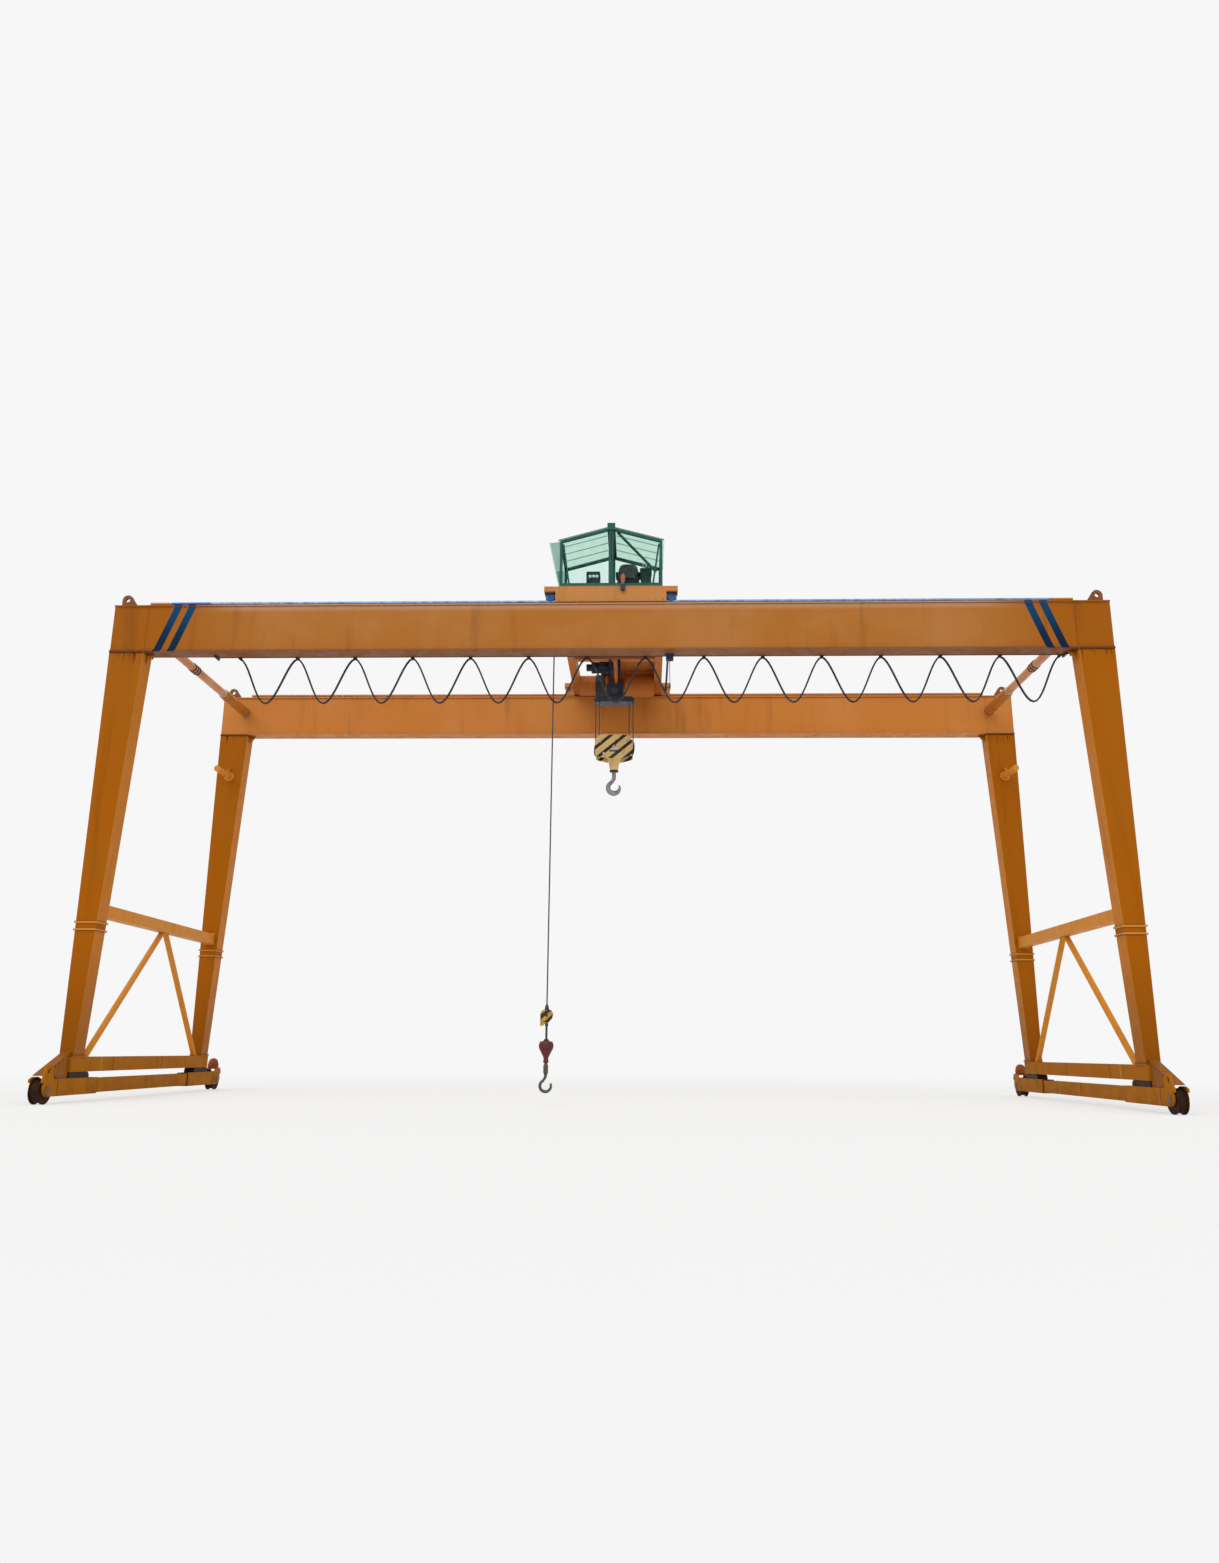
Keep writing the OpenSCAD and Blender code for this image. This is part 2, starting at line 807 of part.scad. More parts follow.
// Rope drum at the left of the middle beam, between two plates hung from the deck frame.
module rope_drum() {
    color("saddlebrown")
        at_trolley() {
            rod_x([-deck_inner, drum_y, drum_z], deck_inner - 150, drum_radius);
            block([-150 - plate_thickness, drum_y - 120, drum_z - 120],
                  [-150, drum_y + 120, beam_top]);
            rod_x([-260, drum_y, drum_z], 40, drum_radius + 35);
        }
}

// Round cover over the hoist gear at the right of the middle beam.
module drum_cover() {
    color("orange")
        at_trolley() {
            rod_x([200, drum_y, drum_z], deck_inner - 200, drum_radius + 40);
            block([200, drum_y - 180, drum_z], [deck_inner, drum_y + 180, beam_top]);
        }
}

module hoist_motor() {
    color("dimgray")
        at_trolley() {
            rod_x([-560, motor_y, motor_z], 500, motor_radius);
            rod_x([-700, motor_y, motor_z], 150, motor_radius - 40);
            block([-380, motor_y - 70, motor_z], [-110, motor_y + 70, beam_top]);
        }
}

// Flanged trolley wheel turning about Y, centred on its rail.
module trolley_wheel() {
    half = tread_width / 2;
    over = trolley_wheel_radius + trolley_flange;
    rotate([90, 0, 0])
        rotate_extrude()
            polygon([[0, -half - 16], [over, -half - 16], [over, -half - 4], [trolley_wheel_radius, -half],
                     [trolley_wheel_radius, half], [over, half + 4], [over, half + 16], [0, half + 16]]);
}

module drive_wheelset() {
    color("slategray")
        at_trolley()
            translate([trolley_wheel_x, 0, trolley_wheel_z]) {
                both_sides()
                    translate([0, half_gauge, 0])
                        trolley_wheel();
                rod_y([0, -half_gauge, 0], girder_gauge, shaft_diameter / 2);
            }
}

// Rear wheel at the left with its stub shaft through the cheek.
module idler() {
    translate([-trolley_wheel_x, half_gauge, trolley_wheel_z]) {
        trolley_wheel();
        rod_y([0, -wheel_cheek_y - wheel_cheek - 25, 0], wheel_cheek_y + wheel_cheek + 25,
              shaft_diameter / 2);
    }
}

module rear_idler() {
    color("slategray")
        at_trolley()
            idler();
}

module front_idler() {
    color("slategray")
        at_trolley()
            mirror([0, 1, 0])
                idler();
}

module hoist_hanger() {
    color("dimgray")
        at_trolley() {
            for (x = [-130, 70])
                block([x, -60, gear_top - 5], [x + 60, 60, main_beam_z]);
            block([-180, 20 - crown_depth, crown_level + crown_height], [200, crown_depth - 20, gear_top]);
        }
}

module crown_block() {
    color("black")
        at_trolley()
            along_y(-crown_depth, crown_depth)
                polygon([[-crown_half + 15, crown_level], [crown_half - 15, crown_level],
                         [crown_half, crown_level + 30], [crown_half, crown_level + crown_height - 40],
                         [crown_half - 70, crown_level + crown_height],
                         [-crown_half + 70, crown_level + crown_height],
                         [-crown_half, crown_level + crown_height - 40], [-crown_half, crown_level + 30]]);
}

// Small drum between two plates under the left deck beam, with its motor at the rear.
module aux_hoist() {
    color("dimgray")
        at_trolley() {
            rod_y([aux_drum_x, aux_y - aux_drum_half, aux_drum_z], 2 * aux_drum_half + 260, aux_drum);
            for (y = [aux_y - aux_drum_half - plate_thickness, aux_y + aux_drum_half])
                block([aux_x - 20, y, aux_drum_z - aux_drum - 25],
                      [aux_drum_x + aux_drum + 25, y + plate_thickness, beam_z]);
        }
}

module cab_floor() {
    color("darkgreen")
        at_trolley()
            block([-cab_half, -cab_front, truck_top], [cab_half, -cab_back, cab_z]);
}

// Height of the roof underside over a place in X.
function roof_height(x) = ridge_z - roof_slope * abs(x);

// Gable wall opening on the right of the middle post, shrunk by a clearance.
module gable_opening(gap) {
    post = post_half + gap;
    edge = cab_half - cab_bar - gap;
    drop = cab_bar * 1.1 + gap * 1.1;
    polygon([[post, cab_z + cab_bar + gap], [edge, cab_z + cab_bar + gap],
             [edge, roof_height(edge) - drop], [post, roof_height(post) - drop]]);
}

// Narrow light between the two bars of the middle post, shrunk by a clearance.
module post_light(gap) {
    half = post_slot - gap;
    low = cab_z + cab_bar + gap;
    high = ridge_z - 2 * cab_bar - gap;
    polygon([[-half, low], [half, low], [half, high], [-half, high]]);
}

// Gable wall frame with two openings and a narrow middle light.
module gable_frame(y) {
    along_y(y - cab_bar / 2, y + cab_bar / 2)
        difference() {
            polygon([[-cab_half, cab_z], [cab_half, cab_z], [cab_half, eaves_z], [0, ridge_z],
                     [-cab_half, eaves_z]]);
            gable_opening(0);
            mirror([1, 0])
                gable_opening(0);
            post_light(0);
        }
}

module cab_frame() {
    bars_y = -cab_front + cab_bar;
    edge = cab_half - cab_bar;
    color("darkgreen")
        at_trolley() {
            gable_frame(-cab_front + cab_bar / 2);
            gable_frame(-cab_back - cab_bar / 2);
            both_ends() {
                block([cab_half - cab_bar, -cab_front + cab_bar / 2, cab_z],
                      [cab_half, -cab_back - cab_bar / 2, cab_z + cab_bar]);
                block([cab_half - cab_bar, -cab_front + cab_bar / 2, eaves_z - cab_bar],
                      [cab_half, -cab_back - cab_bar / 2, eaves_z]);
                along_y(bars_y - 4, bars_y + 26)
                    polygon([[edge - 165, cab_z + 20], [edge - 130, cab_z + 20],
                             [edge, eaves_z - 60], [edge - 35, eaves_z - 60]]);
            }
            block([-ridge_half, -cab_front - 30, ridge_z - 60], [ridge_half, -cab_back + 30, ridge_z + 85]);
            bar([130, bars_y + 24, ridge_z - 80], [cab_half - 130, bars_y + 24, cab_z + 320], 56);
        }
}

module cab_glazing() {
    color("palegreen")
        at_trolley() {
            for (y = [-cab_front + cab_bar / 2, -cab_back - cab_bar / 2])
                along_y(y - 5, y + 5) {
                    gable_opening(pane_gap);
                    mirror([1, 0])
                        gable_opening(pane_gap);
                    post_light(pane_gap);
                }
            block([cab_half - cab_bar / 2 - 5, -cab_front + cab_bar + pane_gap, cab_z + cab_bar + pane_gap],
                  [cab_half - cab_bar / 2 + 5, -cab_back - cab_bar - pane_gap,
                   eaves_z - cab_bar - pane_gap]);
        }
}

module cab_roof() {
    inner = ridge_half + pane_gap;
    color("palegreen")
        at_trolley()
            both_ends()
                along_y(-cab_front - 30, -cab_back + 30)
                    polygon([[inner, roof_height(inner) + pane_gap],
                             [roof_over, roof_height(roof_over) + pane_gap],
                             [roof_over, roof_height(roof_over) + pane_gap + 12],
                             [inner, roof_height(inner) + pane_gap + 12]]);
}

// Frameless pane at the left, tilted outwards at the top.
module cab_vent() {
    color("palegreen")
        at_trolley()
            translate([-cab_half - pane_gap, 0, cab_z + 20])
                rotate([0, -vent_angle, 0])
                    block([-12, -cab_front + 10, 0], [0, -cab_back - 10, cab_wall - 25]);
}

module cab_fittings() {
    color("darkslategray")
        at_trolley() {
            along_y(-cab_front + 180, -cab_front + 480)
                polygon([[-560, cab_z], [-180, cab_z], [-180, cab_z + 90], [-230, cab_z + 110],
                         [-240, cab_z + 400], [-500, cab_z + 400], [-510, cab_z + 110],
                         [-560, cab_z + 90]]);
            block([220, -cab_front + 560, cab_z], [460, -cab_front + 800, cab_z + 330]);
            block([120, -cab_front + 460, cab_z + 320], [560, -cab_front + 900, cab_z + 420]);
            block([120, -cab_front + 840, cab_z + 410], [560, -cab_front + 920, cab_z + 700]);
            block([590, -cab_front + 620, cab_z], [830, -cab_front + 900, cab_z + 700]);
        }
}

// Places of the four rope falls about the hoist axis.
rope_falls = [for (sx = [-1, 1]) for (sy = [-1, 1])
    [sx * sheave_x - sy * sheave_radius * sin(sheave_turn), sy * sheave_radius * cos(sheave_turn)]];

module main_ropes() {
    color("black")
        at_trolley()
            for (p = rope_falls)
                translate([p.x, p.y, sheave_z])
                    cylinder(h = crown_level - sheave_z, d = rope_diameter);
}

// Cheek plate of the hook block, profile in X and Z.
module block_cheek() {
    polygon([[-140, block_bottom], [140, block_bottom], [block_half - 20, block_bottom + block_corner],
             [block_half, block_level - 170], [block_half - 100, block_level],
             [-block_half + 100, block_level], [-block_half, block_level - 170],
             [-block_half + 20, block_bottom + block_corner]]);
}

module main_block() {
    color("gold")
        at_trolley()
            difference() {
                union() {
                    both_sides()
                        along_y(cheek_y, cheek_y + 28)
                            block_cheek();
                    block([-140, -cheek_y - 10, block_bottom], [140, cheek_y + 10, sheave_z + 80]);
                    translate([0, 0, block_bottom - neck_height])
                        cylinder(h = neck_height + 20, r1 = 85, r2 = 130);
                }
                translate([0, 0, block_bottom - neck_height - 10])
                    cylinder(h = shank_depth + 10, d = shank_diameter + 2 * run_gap);
            }
}

// One grooved sheave, turning about X.
module sheave() {
    groove = sheave_radius - rope_diameter / 2 - run_gap;
    over = sheave_radius + 22;
    rotate([0, 90, 0])
        rotate_extrude($fn = 72)
            polygon([[0, -30], [over, -30], [over, -24], [groove, -15], [groove, 15], [over, 24],
                     [over, 30], [0, 30]]);
}

module main_sheaves() {
    color("gray")
        at_trolley()
            for (sx = [-1, 1])
                translate([sx * sheave_x, 0, sheave_z]) {
                    rotate([0, 0, sheave_turn])
                        sheave();
                    rod_x([-(sheave_x - 140) * (sx + 1) / 2, 0, 0], sheave_x - 140, 60);
                }
}

// Centre line of a hook in X and Z about its bowl, from shank to tip.
hook_turn = 118;
hook_sweep = 268;
hook_rings = 22;
hook_sides = 16;

// Share of the shank width at a place along the bowl, swelling to the bottom and thinning to the tip.
function hook_width(s, swell, tip) =
    s < 0.55 ? 1 + swell * s / 0.55 : 1 + swell - (1 + swell - tip) * pow((s - 0.55) / 0.45, 1.4);

// Ring centre, direction and half widths of a hook: shank rings first, then the bowl.
function hook_ring(i, r, stem, thin, swell, tip) =
    i < len(stem) ? [stem[i][0], stem[i][1], stem[i][2], stem[i][3], stem[i][3]]
    : let (s = (i - len(stem)) / (hook_rings - len(stem) - 1), a = hook_turn + s * hook_sweep,
           w = hook_width(s, swell, tip))
        [r * cos(a), r * sin(a), a + 90, thin * w, thin * min(w, 1.05)];
function hook_points(r, stem, thin, swell, tip) =
    [for (i = [0:hook_rings - 1]) for (j = [0:hook_sides - 1])
        let (q = hook_ring(i, r, stem, thin, swell, tip), b = 360 * j / hook_sides)
            [q[0] + sin(q[2]) * cos(b) * q[3], sin(b) * q[4], q[1] - cos(q[2]) * cos(b) * q[3]]];

module main_hook() {
    thin = shank_diameter / 2;
    top = block_bottom - neck_height + shank_depth - 5 - bowl_z;
    stem = [[0, top, 270, thin], [0, 1.75 * bowl_radius, 270, thin],
            [-0.08 * bowl_radius, 1.42 * bowl_radius, 250, thin * 1.02]];
    color("gray")
        at_trolley()
            translate([0, 0, bowl_z])
                polyhedron(hook_points(bowl_radius, stem, thin, 0.35, 0.3),
                           tube_faces(hook_rings, hook_sides));
}

module aux_rope() {
    color("black")
        at_trolley()
            translate([aux_x, aux_y, tag_z + tag_height])
                cylinder(h = aux_drum_z - tag_z - tag_height, d = aux_rope_diameter);
}

// Striped limit tag on the rope, wide at the top.
module aux_tag() {
    color("gold")
        at_trolley()
            translate([aux_x, aux_y, tag_z])
                along_y(-50, 50)
                    polygon([[-118, 0], [-60, 15], [-28, tag_seat], [28, tag_seat], [105, 150],
                             [118, tag_height - 60],
                             [80, tag_height], [-80, tag_height], [-118, tag_height - 60]]);
}

module aux_weight() {
    color("firebrick")
        at_trolley()
            translate([aux_x, aux_y, 0])
                difference() {
                    union() {
                        translate([0, 0, aux_level])
                            rotate_extrude()
                                polygon([[0, -180], [52, -180], [0.6 * aux_radius, -120],
                                         [0.97 * aux_radius, -20], [aux_radius, 40],
                                         [0.86 * aux_radius, 95], [0.5 * aux_radius, 112], [0, 112]]);
                        translate([0, 0, aux_level])
                            cylinder(h = tag_z + tag_seat - aux_level, r = 16);
                        translate([0, 0, barrel_z])
                            cylinder(h = 150, r = 46);
                    }
                    translate([0, 0, barrel_z - 10])
                        cylinder(h = 95, r = aux_shank + run_gap);
                }
}

module aux_hook() {
    low = barrel_z - aux_bowl_z;
    stem = [[0, low + 65, 270, aux_shank], [0, low - 12, 270, aux_shank], [0, low - 45, 270, 46],
            [0, low - 170, 270, 46], [0, low - 225, 270, aux_shank + 1],
            [-0.08 * aux_bowl, 1.45 * aux_bowl, 250, aux_shank]];
    color("gray")
        at_trolley()
            translate([aux_x, aux_y, aux_bowl_z])
                polyhedron(hook_points(aux_bowl, stem, aux_shank, 0.1, 0.75),
                           tube_faces(hook_rings, hook_sides));
}

front_girder();
rear_girder();
trolley_rails();
front_left_leg();
front_right_leg();
rear_left_leg();
rear_right_leg();
leg_splices();
leg_stubs();
end_ties();
leg_struts();
leg_braces();
sills();
carriage_saddles();
left_end_carriage();
right_end_carriage();
gear_covers();
travel_motors();
lifting_lugs();
front_left_wheel();
front_right_wheel();
rear_left_wheel();
rear_right_wheel();
festoon_wire();
festoon_hangers();
festoon_cable();
trolley_trucks();
deck_beams();
deck_crossbeams();
deck_plate();
rope_drum();
drum_cover();
hoist_motor();
drive_wheelset();
front_idler();
rear_idler();
hoist_hanger();
crown_block();
aux_hoist();
cab_floor();
cab_frame();
cab_glazing();
cab_roof();
cab_vent();
cab_fittings();
main_ropes();
main_block();
main_sheaves();
main_hook();
aux_rope();
aux_tag();
aux_weight();
aux_hook();
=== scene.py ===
"""Looks of a double-girder gantry crane with a cab trolley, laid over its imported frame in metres."""

import logging
import math
from dataclasses import dataclass, field
from enum import Enum

import bmesh
import bpy
import numpy as np
from mathutils import Matrix


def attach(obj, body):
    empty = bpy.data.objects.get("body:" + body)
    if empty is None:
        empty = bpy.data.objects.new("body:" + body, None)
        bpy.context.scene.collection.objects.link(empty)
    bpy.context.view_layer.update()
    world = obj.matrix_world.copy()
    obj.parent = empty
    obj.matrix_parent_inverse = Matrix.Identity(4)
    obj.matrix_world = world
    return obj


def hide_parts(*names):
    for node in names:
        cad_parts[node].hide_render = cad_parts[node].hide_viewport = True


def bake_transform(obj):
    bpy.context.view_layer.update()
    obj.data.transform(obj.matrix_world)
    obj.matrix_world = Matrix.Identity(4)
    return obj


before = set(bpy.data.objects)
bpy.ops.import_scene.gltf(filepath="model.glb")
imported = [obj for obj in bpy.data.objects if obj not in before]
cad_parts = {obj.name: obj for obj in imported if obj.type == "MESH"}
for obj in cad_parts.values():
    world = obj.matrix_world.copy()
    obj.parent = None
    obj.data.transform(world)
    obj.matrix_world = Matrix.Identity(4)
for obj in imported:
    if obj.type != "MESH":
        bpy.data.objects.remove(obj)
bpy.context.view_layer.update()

logging.basicConfig(level=logging.INFO, format="%(message)s")
LOG = logging.getLogger("gantry_crane")

Array = np.ndarray
Value = np.ndarray | float
Colour = tuple[float, float, float]
Point = tuple[float, float, float] | np.ndarray
Profile = list[tuple[float, float]] | np.ndarray
Socket = bpy.types.NodeSocket

SIDES = (-1.0, 1.0)
ALONG_X = (1.0, 0.0, 0.0)
ALONG_Y = (0.0, 1.0, 0.0)
MIRROR_Y = np.array([1.0, -1.0, 1.0])


def srgb(red: float, green: float, blue: float) -> Colour:
    """Linear colour of a screen colour whose parts run from 0 to 255.

    Args:
        red: Red part.
        green: Green part.
        blue: Blue part.

    Returns:
        The three linear parts.
    """
    part = np.array([red, green, blue]) / 255.0
    linear = np.where(part <= 0.04045, part / 12.92, ((part + 0.055) / 1.055) ** 2.4)
    return tuple(float(v) for v in linear)


class Body(Enum):
    """Moving bodies of the frame that pieces ride on."""

    FRAME = "frame"
    TROLLEY = "trolley"
    BLOCK = "hook_block"
    WEIGHT = "weight"


class Slot(Enum):
    """Material slots of the record."""

    ORANGE = "orange_paint"
    RAIL = "rail_steel"
    DARK = "dark_steel"
    RUBBER = "rubber"
    GREEN = "green_paint"
    GLASS = "green_glass"
    ROPE = "rope"
    RED = "red_paint"


class Axis(Enum):
    """Direction that a turned or drawn piece points along."""

    X = 0
    Y = 1
    Z = 2

    def turn(self) -> Array:
        """Rotation that takes the Z direction to this axis, as a three by three matrix."""
        return np.roll(np.eye(3), self.value + 1, axis=0)


# ---------------------------------------------------------------- surfaces


class Shell:
    """Points and faces of one piece, gathered from several closed surfaces."""

    def __init__(self) -> None:
        """Starts with no surface."""
        self.points: list[Array] = []
        self.faces: list[list[int]] = []
        self.count = 0

    def rings(self, points: Array, loop: bool = False) -> "Shell":
        """Adds a tube of rings, closed round each ring.

        Each ring is joined to the next by four-cornered faces; the first and last rings get flat
        ends, unless the tube runs back into itself.

        Args:
            points: Array of rings, sides and coordinates.
            loop: Whether the last ring joins the first.

        Returns:
            This shell.
        """
        count, sides = points.shape[:2]
        index = np.arange(count * sides).reshape(count, sides) + self.count
        here = index if loop else index[:-1]
        there = np.roll(index, -1, axis=0) if loop else index[1:]
        quads = np.stack([here, np.roll(here, -1, 1), np.roll(there, -1, 1), there], axis=-1)
        self.faces += quads.reshape(-1, 4).tolist()
        if not loop:
            self.faces += [index[0, ::-1].tolist(), index[-1].tolist()]
        self.points.append(points.reshape(-1, 3))
        self.count += count * sides
        return self

    def copies(self, part: "Shell", places: Array, turn: Array | None = None) -> "Shell":
        """Adds a copy of another shell at each place.

        Args:
            part: Shell drawn about the origin.
            places: Array of places, one row each.
            turn: Rotation for all copies.

        Returns:
            This shell.
        """
        points = np.concatenate(part.points)
        turned = points if turn is None else points @ turn.T
        self.points.append((turned + places[:, None]).reshape(-1, 3))
        starts = (self.count + part.count * np.arange(len(places))).tolist()
        self.faces += [[corner + start for corner in face] for start in starts for face in part.faces]
        self.count += part.count * len(places)
        return self

    def bolts(self, size: "Bolt", seats: Array) -> "Shell":
        """Adds bolts on two faces across Y: at seats on the front one, and mirrored on the rear one.

        Args:
            size: Size of the bolts.
            seats: Places on the front face, one row each.

        Returns:
            This shell.
        """
        self.copies(size.head(Axis.Y, True), seats)
        return self.copies(size.head(Axis.Y), seats * MIRROR_Y)

    def piece(self, name: str, finish: "Finish", body: Body | None, slot: Slot,
              crease: float = 0.6) -> bpy.types.Object:
        """Makes the object of this shell and sets it on its body.

        Args:
            name: Name of the piece.
            finish: Finish that the whole piece takes.
            body: Body that it rides on, or None where it is blended.
            slot: Slot of the record that it belongs to; not used.
            crease: Angle past which an edge stays sharp.

        Returns:
            The new object, at the origin.
        """
        mesh = bpy.data.meshes.new(name)
        mesh.from_pydata(np.concatenate(self.points).tolist(), [], self.faces)
        work = bmesh.new()
        work.from_mesh(mesh)
        bmesh.ops.recalc_face_normals(work, faces=work.faces)
        work.to_mesh(mesh)
        work.free()
        mesh.shade_smooth()
        mesh.set_sharp_from_angle(angle=crease)
        thing = bpy.data.objects.new(name, mesh)
        bpy.context.scene.collection.objects.link(thing)
        mesh.materials.append(finish.material())
        if body is not None:
            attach(thing, body.value)
        LOG.info("%s: %d faces", name, len(mesh.polygons))
        return thing


def xyz(x: Value, y: Value, z: Value) -> Array:
    """Places from their X, Y and Z, which are numbers or arrays and are spread to one shape."""
    return np.stack(np.broadcast_arrays(x, y, z), axis=-1)


def round_angles(count: int) -> Array:
    """Angles that part a full turn evenly."""
    return np.linspace(0.0, 2.0 * np.pi, count, endpoint=False)


def lathe(profile: Profile, sides: int = 24, axis: Axis = Axis.Z, at: Point = (0.0, 0.0, 0.0)) -> Array:
    """Rings of a turned piece: each profile radius is swung round the axis at its height.

    Args:
        profile: Pairs of radius and height along the axis.
        sides: Points round each ring.
        axis: Axis of the turned piece.
        at: Place of the profile's zero.

    Returns:
        Array of rings, sides and coordinates.
    """
    shape = np.asarray(profile, float)
    angle = round_angles(sides)
    rings = xyz(shape[:, :1] * np.cos(angle), shape[:, :1] * np.sin(angle), shape[:, 1:])
    return rings @ axis.turn().T + np.asarray(at, float)


def collar(inner: float, outer: float, low: float, high: float, edge: float = 0.004) -> Profile:
    """Profile of a ring with broken edges: out to its outer radius over the edge, and back in.

    Args:
        inner: Radius at both ends.
        outer: Radius between the edges.
        low: Start along the axis.
        high: End along the axis.
        edge: Length of each broken edge.

    Returns:
        Pairs of radius and height.
    """
    return [(inner, low), (outer, low + edge), (outer, high - edge), (inner, high)]


def fluted(radius: float, depth: float, ribs: int, low: float, high: float, axis: Axis, at: Point) -> Array:
    """Rings of a ribbed barrel: the radius steps between two values as it goes round the axis.

    Args:
        radius: Radius at the foot of the ribs.
        depth: Height of a rib.
        ribs: Number of ribs.
        low: Start along the axis.
        high: End along the axis.
        axis: Axis of the barrel.
        at: Place of the axis zero.

    Returns:
        Array of rings, sides and coordinates.
    """
    angle = round_angles(4 * ribs)
    swing = radius + depth * np.tile([0.0, 1.0, 1.0, 0.0], ribs)
    inset = 0.12 * (high - low)
    height = np.array([low, low + 0.001, high - inset, high])[:, None]
    scale = np.array([0.96, 1.0, 1.0, 0.9])[:, None]
    rings = xyz(scale * swing * np.cos(angle), scale * swing * np.sin(angle), height)
    return rings @ axis.turn().T + np.asarray(at, float)


def rope_turns(radius: float, rope: float, turns: int, start: float, sides: int, axis: Axis,
               at: Point) -> Array:
    """Rings of a rope layer on a drum: the radius ripples once for each turn of rope.

    Args:
        radius: Radius of the drum.
        rope: Thickness of the rope.
        turns: Number of turns.
        start: Start along the axis.
        sides: Points round each ring.
        axis: Axis of the drum.
        at: Place of the axis zero.

    Returns:
        Array of rings, sides and coordinates.
    """
    along = np.linspace(0.0, turns, 8 * turns + 1)
    ripple = radius + rope * (0.45 + 0.5 * np.abs(np.sin(np.pi * along)))
    return lathe(np.stack([ripple, start + along * rope], axis=1), sides, axis, at)


def slab(low: Point, high: Point, edge: float = 0.004) -> Array:
    """Rings of a plate with its edges broken: an eight-cornered outline, drawn in at both ends.

    Args:
        low: Lowest corner.
        high: Highest corner.
        edge: Width of the broken edges.

    Returns:
        Array of four rings, eight sides and coordinates.
    """
    lo, hi = np.asarray(low, float), np.asarray(high, float)
    mid, half = (lo + hi) / 2.0, (hi - lo) / 2.0
    cut = np.minimum(edge, 0.45 * half)
    corner = np.repeat([[-1.0, -1.0], [1.0, -1.0], [1.0, 1.0], [-1.0, 1.0]], 2, axis=0)
    pull = np.tile([[0.0, 1.0], [1.0, 0.0], [1.0, 0.0], [0.0, 1.0]], (2, 1))
    drawn = np.array([1.0, 0.0, 0.0, 1.0])[:, None, None]
    flat = mid[:2] + corner * (half[:2] - cut[:2] * np.maximum(pull, drawn))
    level = mid[2] + np.array([-half[2], -half[2] + cut[2], half[2] - cut[2], half[2]])
    return xyz(flat[..., 0], flat[..., 1], level[:, None])


def carried(path: Array, section: Array, side: Point, loop: bool = False) -> Array:
    """Rings of a section carried along a path.

    At each path point the section's first axis lies along the given side direction, squared up to
    the path, and its second axis along the cross product of path and side.

    Args:
        path: Path points, one row each.
        section: Section points, one row each.
        side: Direction of the section's first axis.
        loop: Whether the path is closed.

    Returns:
        Array of rings, sides and coordinates.
    """
    ahead = np.roll(path, -1, 0) - np.roll(path, 1, 0) if loop else np.gradient(path, axis=0)
    ahead = ahead / np.linalg.norm(ahead, axis=1, keepdims=True)
    first = np.asarray(side, float) - ahead * (ahead @ np.asarray(side, float))[:, None]
    first = first / np.linalg.norm(first, axis=1, keepdims=True)
    second = np.cross(ahead, first)
    return path[:, None] + section[:, :1] * first[:, None] + section[:, 1:] * second[:, None]


def round_section(radius: float, sides: int = 10) -> Array:
    """Points of a circle about zero."""
    angle = round_angles(sides)
    return radius * np.stack([np.cos(angle), np.sin(angle)], axis=1)


def flat_section(width: float, thickness: float, sides: int = 16) -> Array:
    """Points of a flat cable section: a superellipse of the fourth power."""
    shape = round_section(1.0, sides)
    return np.sign(shape) * np.sqrt(np.abs(shape)) * np.array([width, thickness]) / 2.0


def stranded(path: Array, radius: float, lay: float, side: Point, strands: int = 6) -> Array:
    """Rings of a wire rope: a round section whose lobes, one for each strand, turn along the path.

    Args:
        path: Centreline points, one row each.
        radius: Outer radius of the rope.
        lay: Length of one full turn of a strand.
        side: Direction that the section is measured from.
        strands: Number of strands.

    Returns:
        Array of rings, sides and coordinates.
    """
    angle = round_angles(3 * strands)
    step = np.linalg.norm(np.diff(path, axis=0), axis=1)
    turn = 2.0 * np.pi * np.concatenate([[0.0], np.cumsum(step)]) / lay
    spin = (angle + turn[:, None])[..., None]
    swell = radius * (0.82 + 0.18 * np.abs(np.cos(strands / 2.0 * angle)))
    axes = carried(path, np.eye(2), side) - path[:, None]
    return path[:, None] + swell[:, None] * (np.cos(spin) * axes[:, :1] + np.sin(spin) * axes[:, 1:])


def pillow(low: Point, high: Point, power: float, rings: int = 18, sides: int = 40) -> Array:
    """Rings of a stuffed pad: a superellipsoid, flat in the middle, round at its edge.

    Args:
        low: Lowest corner of its box.
        high: Highest corner of its box.
        power: Roundness of its outline, from 0 for square to 1 for round.
        rings: Number of rings from the underside to the top.
        sides: Points round each ring.

    Returns:
        Array of rings, sides and coordinates.
    """
    lo, hi = np.asarray(low, float), np.asarray(high, float)
    rise = np.linspace(-np.pi / 2.0 + 0.02, np.pi / 2.0 - 0.02, rings)[:, None]
    swing = round_angles(sides)

    def power_of(value: Array, to: float) -> Array:
        """Signed power of a cosine or sine."""
        return np.sign(value) * np.abs(value) ** to

    out = power_of(np.cos(rise), 0.55)
    shape = xyz(out * power_of(np.cos(swing), power), out * power_of(np.sin(swing), power),
                power_of(np.sin(rise), 0.8))
    return (lo + hi) / 2.0 + (hi - lo) / 2.0 * shape


